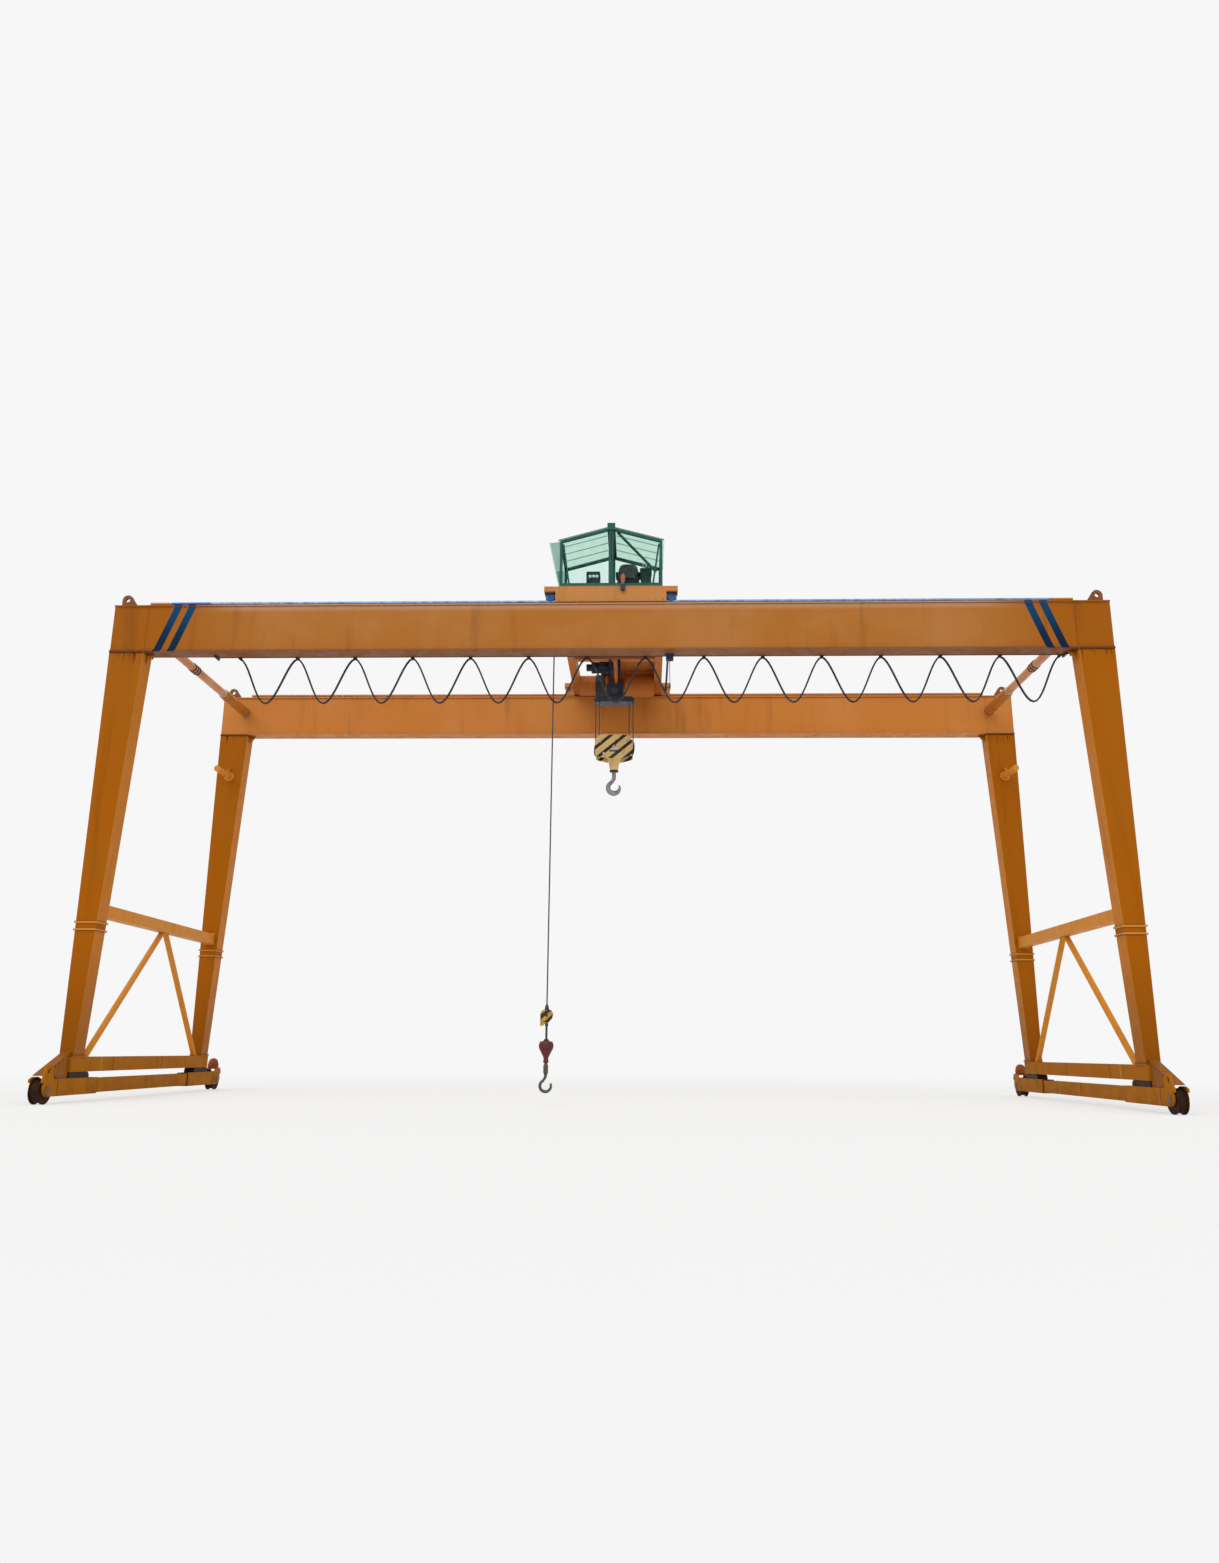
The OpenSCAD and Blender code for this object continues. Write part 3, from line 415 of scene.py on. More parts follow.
class Bolt(Enum):
    """Bolt sizes: the head's radius over its corners, and its height with the washer."""

    SMALL = (0.007, 0.008)
    PLATE = (0.0095, 0.016)
    CAP = (0.01, 0.01)
    TRUCK = (0.011, 0.012)
    TIE = (0.011, 0.02)
    COVER = (0.012, 0.014)
    CASE = (0.013, 0.016)
    CLIP = (0.013, 0.018)

    def head(self, axis: Axis = Axis.Z, flip: bool = False) -> Shell:
        """Six-sided head on a round washer, both turned about the axis.

        Args:
            axis: Direction that the head points along.
            flip: Whether it points the other way along the axis.

        Returns:
            Shell about the origin.
        """
        radius, height = self.value
        way = -1.0 if flip else 1.0
        rise = way * height
        washer = [(1.45 * radius, -0.001 * way), (1.45 * radius, 0.2 * rise)]
        head = [(radius, 0.2 * rise), (radius, 0.88 * rise), (0.8 * radius, rise)]
        return Shell().rings(lathe(washer, 10, axis)).rings(lathe(head, 6, axis))


def around(low: tuple[float, float], high: tuple[float, float], level: float, along_x: int,
           along_y: int) -> Array:
    """Places spread along the four sides of a rectangle at one height.

    Args:
        low: Lower corner in X and Y.
        high: Upper corner in X and Y.
        level: Height of the places.
        along_x: Places on each side that runs along X.
        along_y: Places on each side that runs along Y, between its corners.

    Returns:
        Array of places, one row each.
    """
    xs = np.linspace(low[0], high[0], along_x)
    ys = np.linspace(low[1], high[1], along_y + 2)[1:-1]
    sides = ((xs, low[1]), (xs, high[1]), (low[0], ys), (high[0], ys))
    return np.concatenate([xyz(x, y, level) for x, y in sides])


# ---------------------------------------------------------------- finishes


class Net:
    """Node tree of one material, with short ways to add its nodes."""

    def __init__(self, name: str) -> None:
        """Makes the material with its shader, its output and Object coordinates.

        Args:
            name: Name of the material.
        """
        self.material = bpy.data.materials.new(name)
        self.material.use_nodes = True
        self.tree = self.material.node_tree
        self.tree.nodes.clear()
        self.shader = self.tree.nodes.new("ShaderNodeBsdfPrincipled")
        output = self.tree.nodes.new("ShaderNodeOutputMaterial")
        self.tree.links.new(self.shader.outputs[0], output.inputs[0])
        self.place = self.tree.nodes.new("ShaderNodeTexCoord").outputs["Object"]

    def add(self, kind: str, inputs: dict, **settings: object) -> bpy.types.Node:
        """Adds a node, sets its options, and sets or links its inputs.

        Args:
            kind: Node type.
            inputs: Values or sockets, by input name or number.
            settings: Node options by name.

        Returns:
            The new node.
        """
        node = self.tree.nodes.new(kind)
        for name, value in settings.items():
            setattr(node, name, value)
        for key, value in inputs.items():
            if isinstance(value, Socket):
                self.tree.links.new(value, node.inputs[key])
            elif node.inputs[key].type == "RGBA" and len(value) == 3:
                node.inputs[key].default_value = (*value, 1.0)
            else:
                node.inputs[key].default_value = value
        return node

    def feed(self, name: str, value: object) -> None:
        """Sets or links one socket of the shader.

        Args:
            name: Socket name.
            value: Socket to link, or a constant.
        """
        target = self.shader.inputs[name]
        if isinstance(value, Socket):
            self.tree.links.new(value, target)
        elif target.type == "RGBA":
            target.default_value = (*value[:3], 1.0)
        else:
            target.default_value = value

    def mapped(self, scale: tuple[float, float, float],
               turn: tuple[float, float, float] = (0.0, 0.0, 0.0)) -> Socket:
        """Object coordinates, stretched and turned."""
        inputs = {"Vector": self.place, "Scale": scale, "Rotation": turn}
        return self.add("ShaderNodeMapping", inputs).outputs[0]

    def noise(self, scale: float, detail: float = 3.0, rough: float = 0.55,
              vector: Socket | None = None) -> Socket:
        """Value of a noise pattern on the surface."""
        inputs = {"Vector": vector or self.place, "Scale": scale, "Detail": detail, "Roughness": rough}
        return self.add("ShaderNodeTexNoise", inputs).outputs[0]

    def ramp(self, value: Socket, low: float, high: float, start: float = 0.0, stop: float = 1.0) -> Socket:
        """Value that goes smoothly from start to stop while another goes from low to high."""
        return self.add("ShaderNodeMapRange", {0: value, 1: low, 2: high, 3: start, 4: stop},
                        interpolation_type="SMOOTHSTEP").outputs[0]

    def maths(self, operation: str, first: object, second: object = 0.0) -> Socket:
        """Result of one sum on two values."""
        return self.add("ShaderNodeMath", {0: first, 1: second}, operation=operation).outputs[0]

    def band(self, value: Socket, low: float, high: float) -> Socket:
        """One where a value lies between two limits, zero elsewhere."""
        above = self.maths("GREATER_THAN", value, low)
        return self.maths("MULTIPLY", above, self.maths("LESS_THAN", value, high))

    def axes(self) -> tuple[Socket, Socket, Socket]:
        """X, Y and Z of the surface place."""
        return tuple(self.add("ShaderNodeSeparateXYZ", {0: self.place}).outputs)

    def mix(self, share: object, first: object, second: object) -> Socket:
        """Colour between two colours."""
        return self.add("ShaderNodeMix", {0: share, 6: first, 7: second}, data_type="RGBA").outputs[2]

    def bump(self, height: Socket, strength: float, distance: float, under: Socket | None = None) -> Socket:
        """Normal that is bent by a height, over an earlier one where given."""
        inputs = {"Height": height, "Strength": strength, "Distance": distance}
        return self.add("ShaderNodeBump", inputs | ({"Normal": under} if under else {})).outputs[0]

    def seam(self, value: Socket, place: float, half: float, share: float, colour: Socket) -> Socket:
        """Colour with a dark line where a value lies near a place.

        Args:
            value: Value that the line lies across.
            place: Middle of the line.
            half: Half of the line's width.
            share: Darkness of the line.
            colour: Colour beside the line.

        Returns:
            The colour with its line.
        """
        line = self.maths("MULTIPLY", self.band(value, place - half, place + half), share)
        return self.mix(line, colour, SOOT)


@dataclass(frozen=True)
class Finish:
    """A surface finish, made once and shared by its pieces."""

    name: str
    colour: Colour

    def material(self) -> bpy.types.Material:
        """Material of this finish."""
        return bpy.data.materials.get(self.name) or self.make()

    def make(self) -> bpy.types.Material:
        """Builds the material; each kind of finish does this in its own way."""
        raise NotImplementedError


RUST = srgb(86, 42, 20)
SOOT = srgb(46, 26, 14)


@dataclass(frozen=True)
class Paint(Finish):
    """Weathered paint on steel plate: faded patches, run marks, chips and orange peel."""

    faded: Colour = (0.5, 0.25, 0.1)
    soil: Colour = SOOT
    grime: float = 0.35
    wear: float = 0.55
    roughness: float = 0.42
    grain: float = 1.0
    gloss: float = 0.14

    def marks(self, net: Net, colour: Socket) -> Socket:
        """Adds painted marks over the coat; a plain coat has none."""
        return colour

    def relief(self, net: Net, normal: Socket) -> Socket:
        """Adds raised work to the plate's normal; plain plate has none."""
        return normal

    def make(self) -> bpy.types.Material:
        """Builds the coat: fading over metres, upright run marks, chips with rust, and a fine peel.

        Returns:
            The material.
        """
        net = Net(self.name)
        fading = net.ramp(net.noise(0.55 * self.grain, 4.0, 0.6), 0.36, 0.7)
        colour = self.marks(net, net.mix(fading, self.colour, self.faded))
        upright = net.mapped((3.4 * self.grain, 3.4 * self.grain, 0.3 * self.grain))
        runs = net.noise(1.0, 5.0, 0.62, upright)
        colour = net.mix(net.ramp(runs, 0.52, 0.82, 0.0, self.grime), colour, self.soil)
        chips = net.noise(17.0 * self.grain, 6.0, 0.7)
        colour = net.mix(net.ramp(chips, 0.665, 0.72, 0.0, self.wear), colour, RUST)
        net.feed("Base Color", colour)
        net.feed("Roughness", net.ramp(net.noise(5.0 * self.grain, 4.0), 0.3, 0.75,
                                       self.roughness - 0.1, self.roughness + 0.16))
        net.feed("Specular IOR Level", self.gloss)
        buckle = net.bump(net.noise(1.1 * self.grain, 2.0), 0.25, 0.012)
        net.feed("Normal", self.relief(net, net.bump(net.noise(140.0, 2.0), 0.12, 0.0012, buckle)))
        return net.material


@dataclass(frozen=True)
class GirderPaint(Paint):
    """Front girder coat: richer at the ends, a painted highlight along the top edge, painted shade on the
    underside, two slanted stripes at each end.
    """

    stripe: Colour = srgb(1, 33, 58)
    stripe_high: Colour = srgb(2, 64, 104)
    ends: Colour = srgb(152, 84, 1)
    ends_at: tuple[float, float] = (6.6, 9.6)
    # top: colour of the painted highlight along the lit top edge
    top: Colour = srgb(184, 140, 106)
    top_highlight_at: tuple[float, float] = (9.56, 9.68)
    top_highlight_ends: tuple[float, float] = (8.5, 7.2)
    # under: colour of the painted shade on the downward-facing underside
    under: Colour = srgb(104, 66, 48)
    underside_shade_at: tuple[float, float] = (8.772, 8.76)
    outer: tuple[float, float] = (8.945, 9.102)
    inner: tuple[float, float] = (8.656, 8.813)
    foot: float = 8.81
    lean: float = 0.3716
    face: float = -3.15
    joint: float = 9.3

    def marks(self, net: Net, colour: Socket) -> Socket:
        """Stripes lean: they lie where the distance from the middle plus a share of the rise is in a band.

        Args:
            net: Node tree of the coat.
            colour: Coat so far.

        Returns:
            Coat with its marks.
        """
        x, y, z = net.axes()
        reach = net.maths("ABSOLUTE", x)
        colour = net.mix(net.ramp(reach, *self.ends_at, 0.0, 0.95), colour, self.ends)
        # Painted highlight: a paler strip along the lit top edge, fading out towards the ends.
        top_highlight = net.maths("MULTIPLY", net.ramp(z, *self.top_highlight_at, 0.0, 0.85), net.ramp(reach, *self.top_highlight_ends))
        colour = net.mix(top_highlight, colour, self.top)
        # Painted shade: the bottom flange's underside is darkened.
        colour = net.mix(net.ramp(z, *self.underside_shade_at, 0.0, 0.6), colour, self.under)
        rise = net.maths("MULTIPLY", net.maths("SUBTRACT", z, self.foot), self.lean)
        leant = net.maths("ADD", reach, rise)
        both = net.maths("MAXIMUM", net.band(leant, *self.outer), net.band(leant, *self.inner))
        front = net.maths("MULTIPLY", both, net.maths("LESS_THAN", y, self.face))
        scuffs = net.ramp(net.noise(9.0, 6.0, 0.7), 0.74, 0.66, 0.6, 1.0)
        blue = net.mix(net.ramp(z, 8.9, 9.72), self.stripe, self.stripe_high)
        colour = net.mix(net.maths("MULTIPLY", front, scuffs), colour, blue)
        return net.seam(reach, self.joint, 0.004, 0.65, colour)


@dataclass(frozen=True)
class LegPaint(Paint):
    """Leg coat: a painted highlight on the tapered inner face, painted shade darkening it towards the foot,
    and drips with a painted shadow under the head plate.
    """

    # inner: colour of the painted highlight on the lit inner face
    inner: Colour = srgb(192, 118, 36)
    # low: colour of the painted shade that darkens the legs towards the foot
    low: Colour = srgb(112, 60, 2)
    foot_shade_at: tuple[float, float] = (3.4, 0.9)
    end: float = 10.0
    foot: tuple[float, float] = (0.27, 0.81)
    taper: float = 0.43 / 7.93
    head: float = 8.715

    def marks(self, net: Net, colour: Socket) -> Socket:
        """The inner face lies where the distance from the middle plus the leg's width is its outer end.

        Args:
            net: Node tree of the coat.
            colour: Coat so far.

        Returns:
            Coat with its marks.
        """
        x, _, z = net.axes()
        rise = net.maths("SUBTRACT", z, self.foot[1])
        width = net.maths("ADD", net.maths("MULTIPLY", rise, self.taper), self.foot[0])
        edge = net.maths("ADD", net.maths("ABSOLUTE", x), width)
        # Painted highlight: the tapered inner face is made lighter.
        colour = net.mix(net.maths("LESS_THAN", edge, self.end + 0.006), colour, self.inner)
        # Painted shade: the leg darkens towards the foot.
        colour = net.mix(net.ramp(z, *self.foot_shade_at, 0.0, 0.5), colour, self.low)
        # Drip stains that darken towards the head plate as painted shade, plus a painted shadow band just
        # under the plate.
        drips = net.ramp(net.noise(1.0, 3.0, 0.6, net.mapped((20.0, 20.0, 0.8))), 0.5, 0.66)
        drip_stain_and_shade = net.maths("MULTIPLY", net.ramp(z, self.head - 0.3, self.head, 0.0, 0.8), drips)
        head_plate_shadow = net.ramp(z, self.head - 0.03, self.head, 0.0, 0.6)
        return net.mix(net.maths("MAXIMUM", drip_stain_and_shade, head_plate_shadow), colour, SOOT)


@dataclass(frozen=True)
class SplicePaint(Paint):
    """Splice coat: the leg's own colour with both flanges lighter."""

    flange: Colour = srgb(204, 138, 52)
    between: tuple[float, float] = (3.17, 3.27)

    def marks(self, net: Net, colour: Socket) -> Socket:
        """The flanges lie outside the heights of the plate between them."""
        _, _, z = net.axes()
        return net.mix(net.band(z, *self.between), self.flange, colour)


@dataclass(frozen=True)
class CarriagePaint(Paint):
    """End carriage coat with dark plate joints and dirt that thickens towards the ground."""

    joints: tuple[float, ...] = (-3.62, -2.15, 0.0, 2.15, 3.62)

    def marks(self, net: Net, colour: Socket) -> Socket:
        """Joints lie across the beam at set places along Y; dirt follows the height.

        Args:
            net: Node tree of the coat.
            colour: Coat so far.

        Returns:
            Coat with its marks.
        """
        _, y, z = net.axes()
        for place in self.joints:
            colour = net.seam(y, place, 0.012, 0.75, colour)
        patches = net.ramp(net.noise(3.0, 5.0, 0.65), 0.35, 0.7, 0.02, 0.35)
        return net.mix(net.maths("MULTIPLY", net.ramp(z, 0.75, 0.1), patches), colour, SOOT)


@dataclass(frozen=True)
class SillPaint(CarriagePaint):
    """Sill coat: as the carriages, with one yellow band behind the front foot."""

    band_at: tuple[float, float] = (-2.12, -2.05)
    band: Colour = srgb(176, 132, 30)

    def marks(self, net: Net, colour: Socket) -> Socket:
        """One band across the beam, worn by noise, under the joints of the carriage coat.

        Args:
            net: Node tree of the coat.
            colour: Coat so far.

        Returns:
            Coat with its marks.
        """
        _, y, _ = net.axes()
        worn = net.maths("MULTIPLY", net.band(y, *self.band_at),
                         net.ramp(net.noise(14.0, 5.0), 0.35, 0.6, 0.3, 0.9))
        return CarriagePaint.marks(self, net, net.mix(worn, colour, self.band))


@dataclass(frozen=True)
class StripedPaint(Paint):
    """Warning coat: dark slanted stripes that rise to the right on a yellow ground."""

    stripe: Colour = srgb(44, 40, 40)
    rise: float = math.radians(40.0)
    pitch: float = 0.2
    share: float = 0.36
    start: float = 0.0
    above: float = -10.0

    def marks(self, net: Net, colour: Socket) -> Socket:
        """Stripes repeat along the direction square to their rise, above a set height.

        Args:
            net: Node tree of the coat.
            colour: Coat so far.

        Returns:
            Coat with its marks.
        """
        along, _, z = net.axes()
        square = net.maths("SUBTRACT", net.maths("MULTIPLY", z, math.cos(self.rise)),
                           net.maths("MULTIPLY", along, math.sin(self.rise)))
        step = net.maths("DIVIDE", net.maths("ADD", square, self.start + 20.0), self.pitch)
        share = net.maths("MULTIPLY", net.maths("LESS_THAN", net.maths("FRACT", step), self.share),
                          net.maths("GREATER_THAN", z, self.above))
        scuffs = net.ramp(net.noise(40.0, 5.0, 0.7), 0.66, 0.58, 0.4, 1.0)
        return net.mix(net.maths("MULTIPLY", share, scuffs), colour, self.stripe)


@dataclass(frozen=True)
class TreadPlate(Paint):
    """Deck coat over raised tread bars that slant across the plate."""

    slant: tuple[float, float, float] = (0.0, 0.0, math.radians(45.0))

    def relief(self, net: Net, normal: Socket) -> Socket:
        """Raises bars along the crests of a slanted wave."""
        wave = {"Vector": net.mapped((1.0, 1.0, 1.0), self.slant), "Scale": 9.0}
        return net.bump(net.add("ShaderNodeTexWave", wave).outputs[1], 0.35, 0.004, normal)


@dataclass(frozen=True)
class Steel(Finish):
    """Bare or oiled steel: brushed streaks, dull patches and rust in the pores."""

    metal: float = 1.0
    roughness: float = 0.42
    rust: float = 0.4
    scale: float = 1.0
    gloss: float = 0.5

    def tinted(self, net: Net, colour: Socket) -> Socket:
        """Adds local tints; plain steel has none."""
        return colour

    def make(self) -> bpy.types.Material:
        """Builds the steel: patches, long streaks along X, rust spots and a fine scratch bump.

        Returns:
            The material.
        """
        net = Net(self.name)
        dull = tuple(0.62 * part for part in self.colour)
        colour = net.mix(net.ramp(net.noise(6.0 * self.scale, 5.0), 0.38, 0.68), self.colour, dull)
        colour = self.tinted(net, colour)
        spots = net.noise(30.0 * self.scale, 6.0, 0.7)
        colour = net.mix(net.ramp(spots, 0.58, 0.7, 0.0, self.rust), colour, RUST)
        net.feed("Base Color", colour)
        net.feed("Metallic", self.metal)
        net.feed("Specular IOR Level", self.gloss)
        net.feed("Roughness", net.ramp(net.noise(14.0 * self.scale, 4.0), 0.3, 0.7,
                                       self.roughness - 0.1, self.roughness + 0.2))
        streak = net.noise(24.0 * self.scale, 3.0, 0.5, net.mapped((0.15, 3.0, 3.0)))
        net.feed("Normal", net.bump(streak, 0.2, 0.002))
        return net.material


@dataclass(frozen=True)
class RailSteel(Steel):
    """Crane rail: blue-grey on the front girder, where the blue is a painted sky reflection, with a stronger
    painted reflection patch near the left end; rusty on the rear one, coated towards the ends.
    """

    # Saturated blue of the painted sky reflection near the left end of the front rail.
    reflection_patch: Colour = srgb(38, 100, 172)
    reflection_patch_at: tuple[float, float] = (-8.92, -8.1)
    rear: Colour = srgb(176, 112, 56)
    coat: Colour = srgb(184, 116, 46)
    coat_from: float = 8.95

    def tinted(self, net: Net, colour: Socket) -> Socket:
        """Tints by place: the rear rail by its side, the painted reflection patch and the coated ends along
        X.

        Args:
            net: Node tree of the steel.
            colour: Steel so far.

        Returns:
            Steel with its tints.
        """
        x, y, _ = net.axes()
        # Painted reflection: a stronger blue patch near the left end.
        colour = net.mix(net.band(x, *self.reflection_patch_at), colour, self.reflection_patch)
        colour = net.mix(net.maths("GREATER_THAN", y, 0.0), colour, self.rear)
        coated = net.maths("GREATER_THAN", net.maths("ABSOLUTE", x), self.coat_from)
        return net.mix(coated, colour, self.coat)


@dataclass(frozen=True)
class WireRope(Finish):
    """Greased rope wire: dark steel with dust between the wires."""

    def make(self) -> bpy.types.Material:
        """Builds the rope: grease patches over fine wires.

        Returns:
            The material.
        """
        net = Net(self.name)
        dust = tuple(min(1.0, 2.6 * part + 0.02) for part in self.colour)
        share = net.ramp(net.noise(36.0, 5.0, 0.7), 0.4, 0.72, 0.0, 0.75)
        net.feed("Base Color", net.mix(share, self.colour, dust))
        net.feed("Metallic", 0.45)
        net.feed("Roughness", net.ramp(net.noise(20.0, 3.0), 0.3, 0.7, 0.35, 0.62))
        net.feed("Normal", net.bump(net.noise(420.0, 2.0), 0.35, 0.001))
        return net.material


@dataclass(frozen=True)
class Rubber(Finish):
    """Rubber or plastic sheath with dust and a soft scuffed surface."""

    roughness: float = 0.62

    def make(self) -> bpy.types.Material:
        """Builds the sheath: dusty patches, uneven gloss and a fine pitted bump.

        Returns:
            The material.
        """
        net = Net(self.name)
        dust = tuple(part + 0.045 for part in self.colour)
        share = net.ramp(net.noise(9.0, 6.0, 0.65), 0.42, 0.75)
        net.feed("Base Color", net.mix(share, self.colour, dust))
        net.feed("Roughness", net.ramp(net.noise(25.0, 4.0), 0.3, 0.7,
                                       self.roughness - 0.14, self.roughness + 0.14))
        net.feed("Normal", net.bump(net.noise(300.0, 2.0), 0.15, 0.0008))
        return net.material


@dataclass(frozen=True)
class Glass(Finish):
    """Tinted window pane with dried run marks and a dusty bloom."""

    tint: Colour = (0.6, 0.85, 0.75)
    bend: float = 1.12

    def make(self) -> bpy.types.Material:
        """Builds the pane: clear tinted glass whose tint and gloss change a little over the pane.

        Returns:
            The material.
        """
        net = Net(self.name)
        runs = net.noise(1.0, 5.0, 0.6, net.mapped((5.0, 5.0, 0.7)))
        net.feed("Base Color", net.mix(net.ramp(runs, 0.35, 0.75), self.colour, self.tint))
        net.feed("Transmission Weight", 1.0)
        net.feed("IOR", self.bend)
        net.feed("Roughness", net.ramp(net.noise(4.0, 5.0, 0.6), 0.4, 0.75, 0.02, 0.12))
        net.feed("Normal", net.bump(net.noise(2.2, 2.0), 0.04, 0.004))
        return net.material


@dataclass(frozen=True)
class Vinyl(Finish):
    """Seat vinyl with a leather grain and rubbed high spots."""

    def make(self) -> bpy.types.Material:
        """Builds the vinyl: cells for the grain, lighter where rubbed.

        Returns:
            The material.
        """
        net = Net(self.name)
        rubbed = tuple(1.9 * part + 0.01 for part in self.colour)
        net.feed("Base Color", net.mix(net.ramp(net.noise(7.0, 4.0), 0.45, 0.72), self.colour, rubbed))
        net.feed("Roughness", net.ramp(net.noise(16.0, 3.0), 0.3, 0.7, 0.42, 0.64))
        cells = net.add("ShaderNodeTexVoronoi", {"Vector": net.place, "Scale": 210.0}).outputs[0]
        net.feed("Normal", net.bump(cells, 0.3, 0.0015))
        return net.material


GIRDER_COAT = GirderPaint("girder_coat", srgb(166, 102, 38), faded=srgb(171, 113, 57), gloss=0.07)
REAR_COAT = Paint("rear_girder_coat", srgb(189, 115, 44), faded=srgb(192, 122, 56))
LEG_COAT = LegPaint("leg_coat", srgb(160, 87, 1), faded=srgb(157, 90, 9), grime=0.25, gloss=0.05)
SPLICE_COAT = SplicePaint("splice_coat", srgb(160, 87, 1), faded=srgb(157, 90, 9), grain=2.0, gloss=0.05)
STRUT_COAT = Paint("strut_coat", srgb(208, 134, 42), faded=srgb(206, 136, 56), grime=0.3, gloss=0.06)
# Pale salmon tie coat: orange paint lightened as a painted highlight of the tubes' lit upper face.
TIE_HIGHLIT_COAT = Paint("tie_highlit_coat", srgb(206, 150, 110), faded=srgb(184, 116, 72), grain=1.6)
SLEEVE_COAT = Paint("tie_sleeve_coat", srgb(180, 110, 36), faded=srgb(166, 100, 42), grain=2.0)
CARRIAGE_COAT = CarriagePaint("carriage_coat", srgb(172, 104, 6), faded=srgb(168, 106, 20), grime=0.3,
                              gloss=0.02)
SILL_COAT = SillPaint("sill_coat", srgb(164, 98, 6), faded=srgb(168, 106, 24), grime=0.35, gloss=0.02,
                      joints=(-1.6, 0.65))
COVER_COAT = Paint("gear_cover_coat", srgb(146, 84, 12), faded=srgb(136, 82, 26), grime=0.5, grain=2.0,
                   gloss=0.06)
MOTOR_COAT = Paint("travel_motor_coat", srgb(142, 72, 30), faded=srgb(128, 66, 30), grime=0.4, grain=3.0)
TRUCK_COAT = Paint("truck_coat", srgb(186, 124, 64), faded=srgb(182, 122, 68), grain=1.5)
DECK_COAT = TreadPlate("deck_coat", srgb(178, 104, 42), faded=srgb(166, 98, 48), grime=0.45)
BEAM_COAT = Paint("deck_beam_coat", srgb(178, 103, 42), faded=srgb(166, 96, 48), grime=0.4, grain=1.5)
DRUM_COAT = Paint("drum_cover_coat", srgb(172, 96, 34), faded=srgb(160, 92, 40), grime=0.4, grain=2.0)
LUG_COAT = Paint("lug_coat", srgb(136, 78, 34), faded=srgb(124, 74, 42), grime=0.5, grain=3.0)
SWITCH_COAT = Paint("switch_coat", srgb(44, 52, 82), faded=srgb(56, 64, 92), soil=srgb(24, 24, 28),
                    grain=5.0)
CAB_COAT = Paint("cab_coat", srgb(28, 82, 74), faded=srgb(38, 92, 84), soil=srgb(18, 36, 32), grime=0.3,
                 grain=3.0)
ROOF_BAR_COAT = Paint("roof_bar_coat", srgb(140, 182, 166), faded=srgb(150, 190, 174), soil=srgb(70, 96,
                      88),
                      grain=3.0)
CAB_FLOOR_COAT = Paint("cab_floor_coat", srgb(120, 84, 52), faded=srgb(98, 74, 52), grain=2.0)
CROWN_COAT = Paint("crown_coat", srgb(56, 61, 74), faded=srgb(70, 75, 86), soil=srgb(28, 22, 20), grain=3.0)
GEAR_COAT = Paint("gear_case_coat", srgb(42, 49, 64), faded=srgb(56, 60, 70), soil=srgb(28, 22, 20),
                  grain=3.0)
SADDLE_COAT = Paint("saddle_coat", srgb(40, 30, 20), faded=srgb(54, 40, 28), soil=srgb(20, 14, 10),
                    grain=2.5,
                    gloss=0.05)
BLOCK_COAT = StripedPaint("hook_block_coat", srgb(224, 194, 130), faded=srgb(208, 176, 112), grain=4.0,
                          start=0.06, above=7.3)
TAG_COAT = StripedPaint("tag_coat", srgb(190, 150, 56), faded=srgb(150, 122, 60), grain=6.0,
                        pitch=0.14, share=0.5, above=1.5, start=0.03)
WEIGHT_COAT = Paint("weight_coat", srgb(106, 48, 44), faded=srgb(86, 45, 43), soil=srgb(34, 22, 20),
                    grain=5.0)
HORN_COAT = Paint("horn_coat", srgb(160, 96, 70), faded=srgb(134, 84, 66), grain=6.0)
# Blue-grey base colour: grey steel plus a painted blue sky reflection.
RAIL_STEEL = RailSteel("rail_steel_finish", srgb(126, 156, 196), metal=0.5, roughness=0.36, rust=0.25)
WHEEL_STEEL = Steel("wheel_steel_finish", srgb(50, 30, 16), metal=0.1, roughness=0.6, rust=0.5, scale=2.0,
                    gloss=0.08)
TROLLEY_WHEEL_STEEL = Steel("trolley_wheel_finish", srgb(44, 84, 140), metal=0.55, roughness=0.4,
                            rust=0.3, scale=2.0)
HOOK_STEEL = Steel("hook_steel_finish", srgb(150, 146, 150), metal=0.55, roughness=0.46, rust=0.25,
                   scale=2.0)
SMALL_HOOK_STEEL = Steel("small_hook_finish", srgb(84, 82, 78), metal=0.4, roughness=0.5, rust=0.3,
                         scale=3.0)
DARK_STEEL = Steel("dark_steel_finish", srgb(56, 56, 62), metal=0.4, roughness=0.5, rust=0.35, scale=2.0)
BOLT_STEEL = Steel("bolt_steel_finish", srgb(120, 86, 58), metal=0.4, roughness=0.5, rust=0.6, scale=4.0)
PIN_STEEL = Steel("pin_steel_finish", srgb(190, 188, 186), metal=0.8, roughness=0.32, rust=0.15, scale=4.0)
WELD_COAT = Paint("weld_coat", srgb(152, 90, 32), faded=srgb(140, 82, 32), grime=0.5, grain=6.0)
ROPE_WIRE = WireRope("rope_wire_finish", srgb(58, 54, 54))
CABLE_SHEATH = Rubber("cable_sheath_finish", srgb(20, 22, 27), roughness=0.75)
SEAL_RUBBER = Rubber("seal_rubber_finish", srgb(24, 40, 38))
CAB_GLASS = Glass("cab_glass_finish", srgb(237, 250, 245), tint=srgb(229, 247, 240))
VENT_GLASS = Glass("vent_glass_finish", srgb(152, 190, 175), tint=srgb(142, 180, 165), bend=1.01)
ROOF_GLASS = Glass("roof_glass_finish", srgb(214, 240, 230), tint=srgb(204, 234, 222))
SEAT_VINYL = Vinyl("seat_vinyl_finish", srgb(34, 40, 42))
CONSOLE_COAT = Paint("console_coat", srgb(30, 56, 54), faded=srgb(40, 66, 62), soil=srgb(16, 22, 22),
                     grain=4.0)


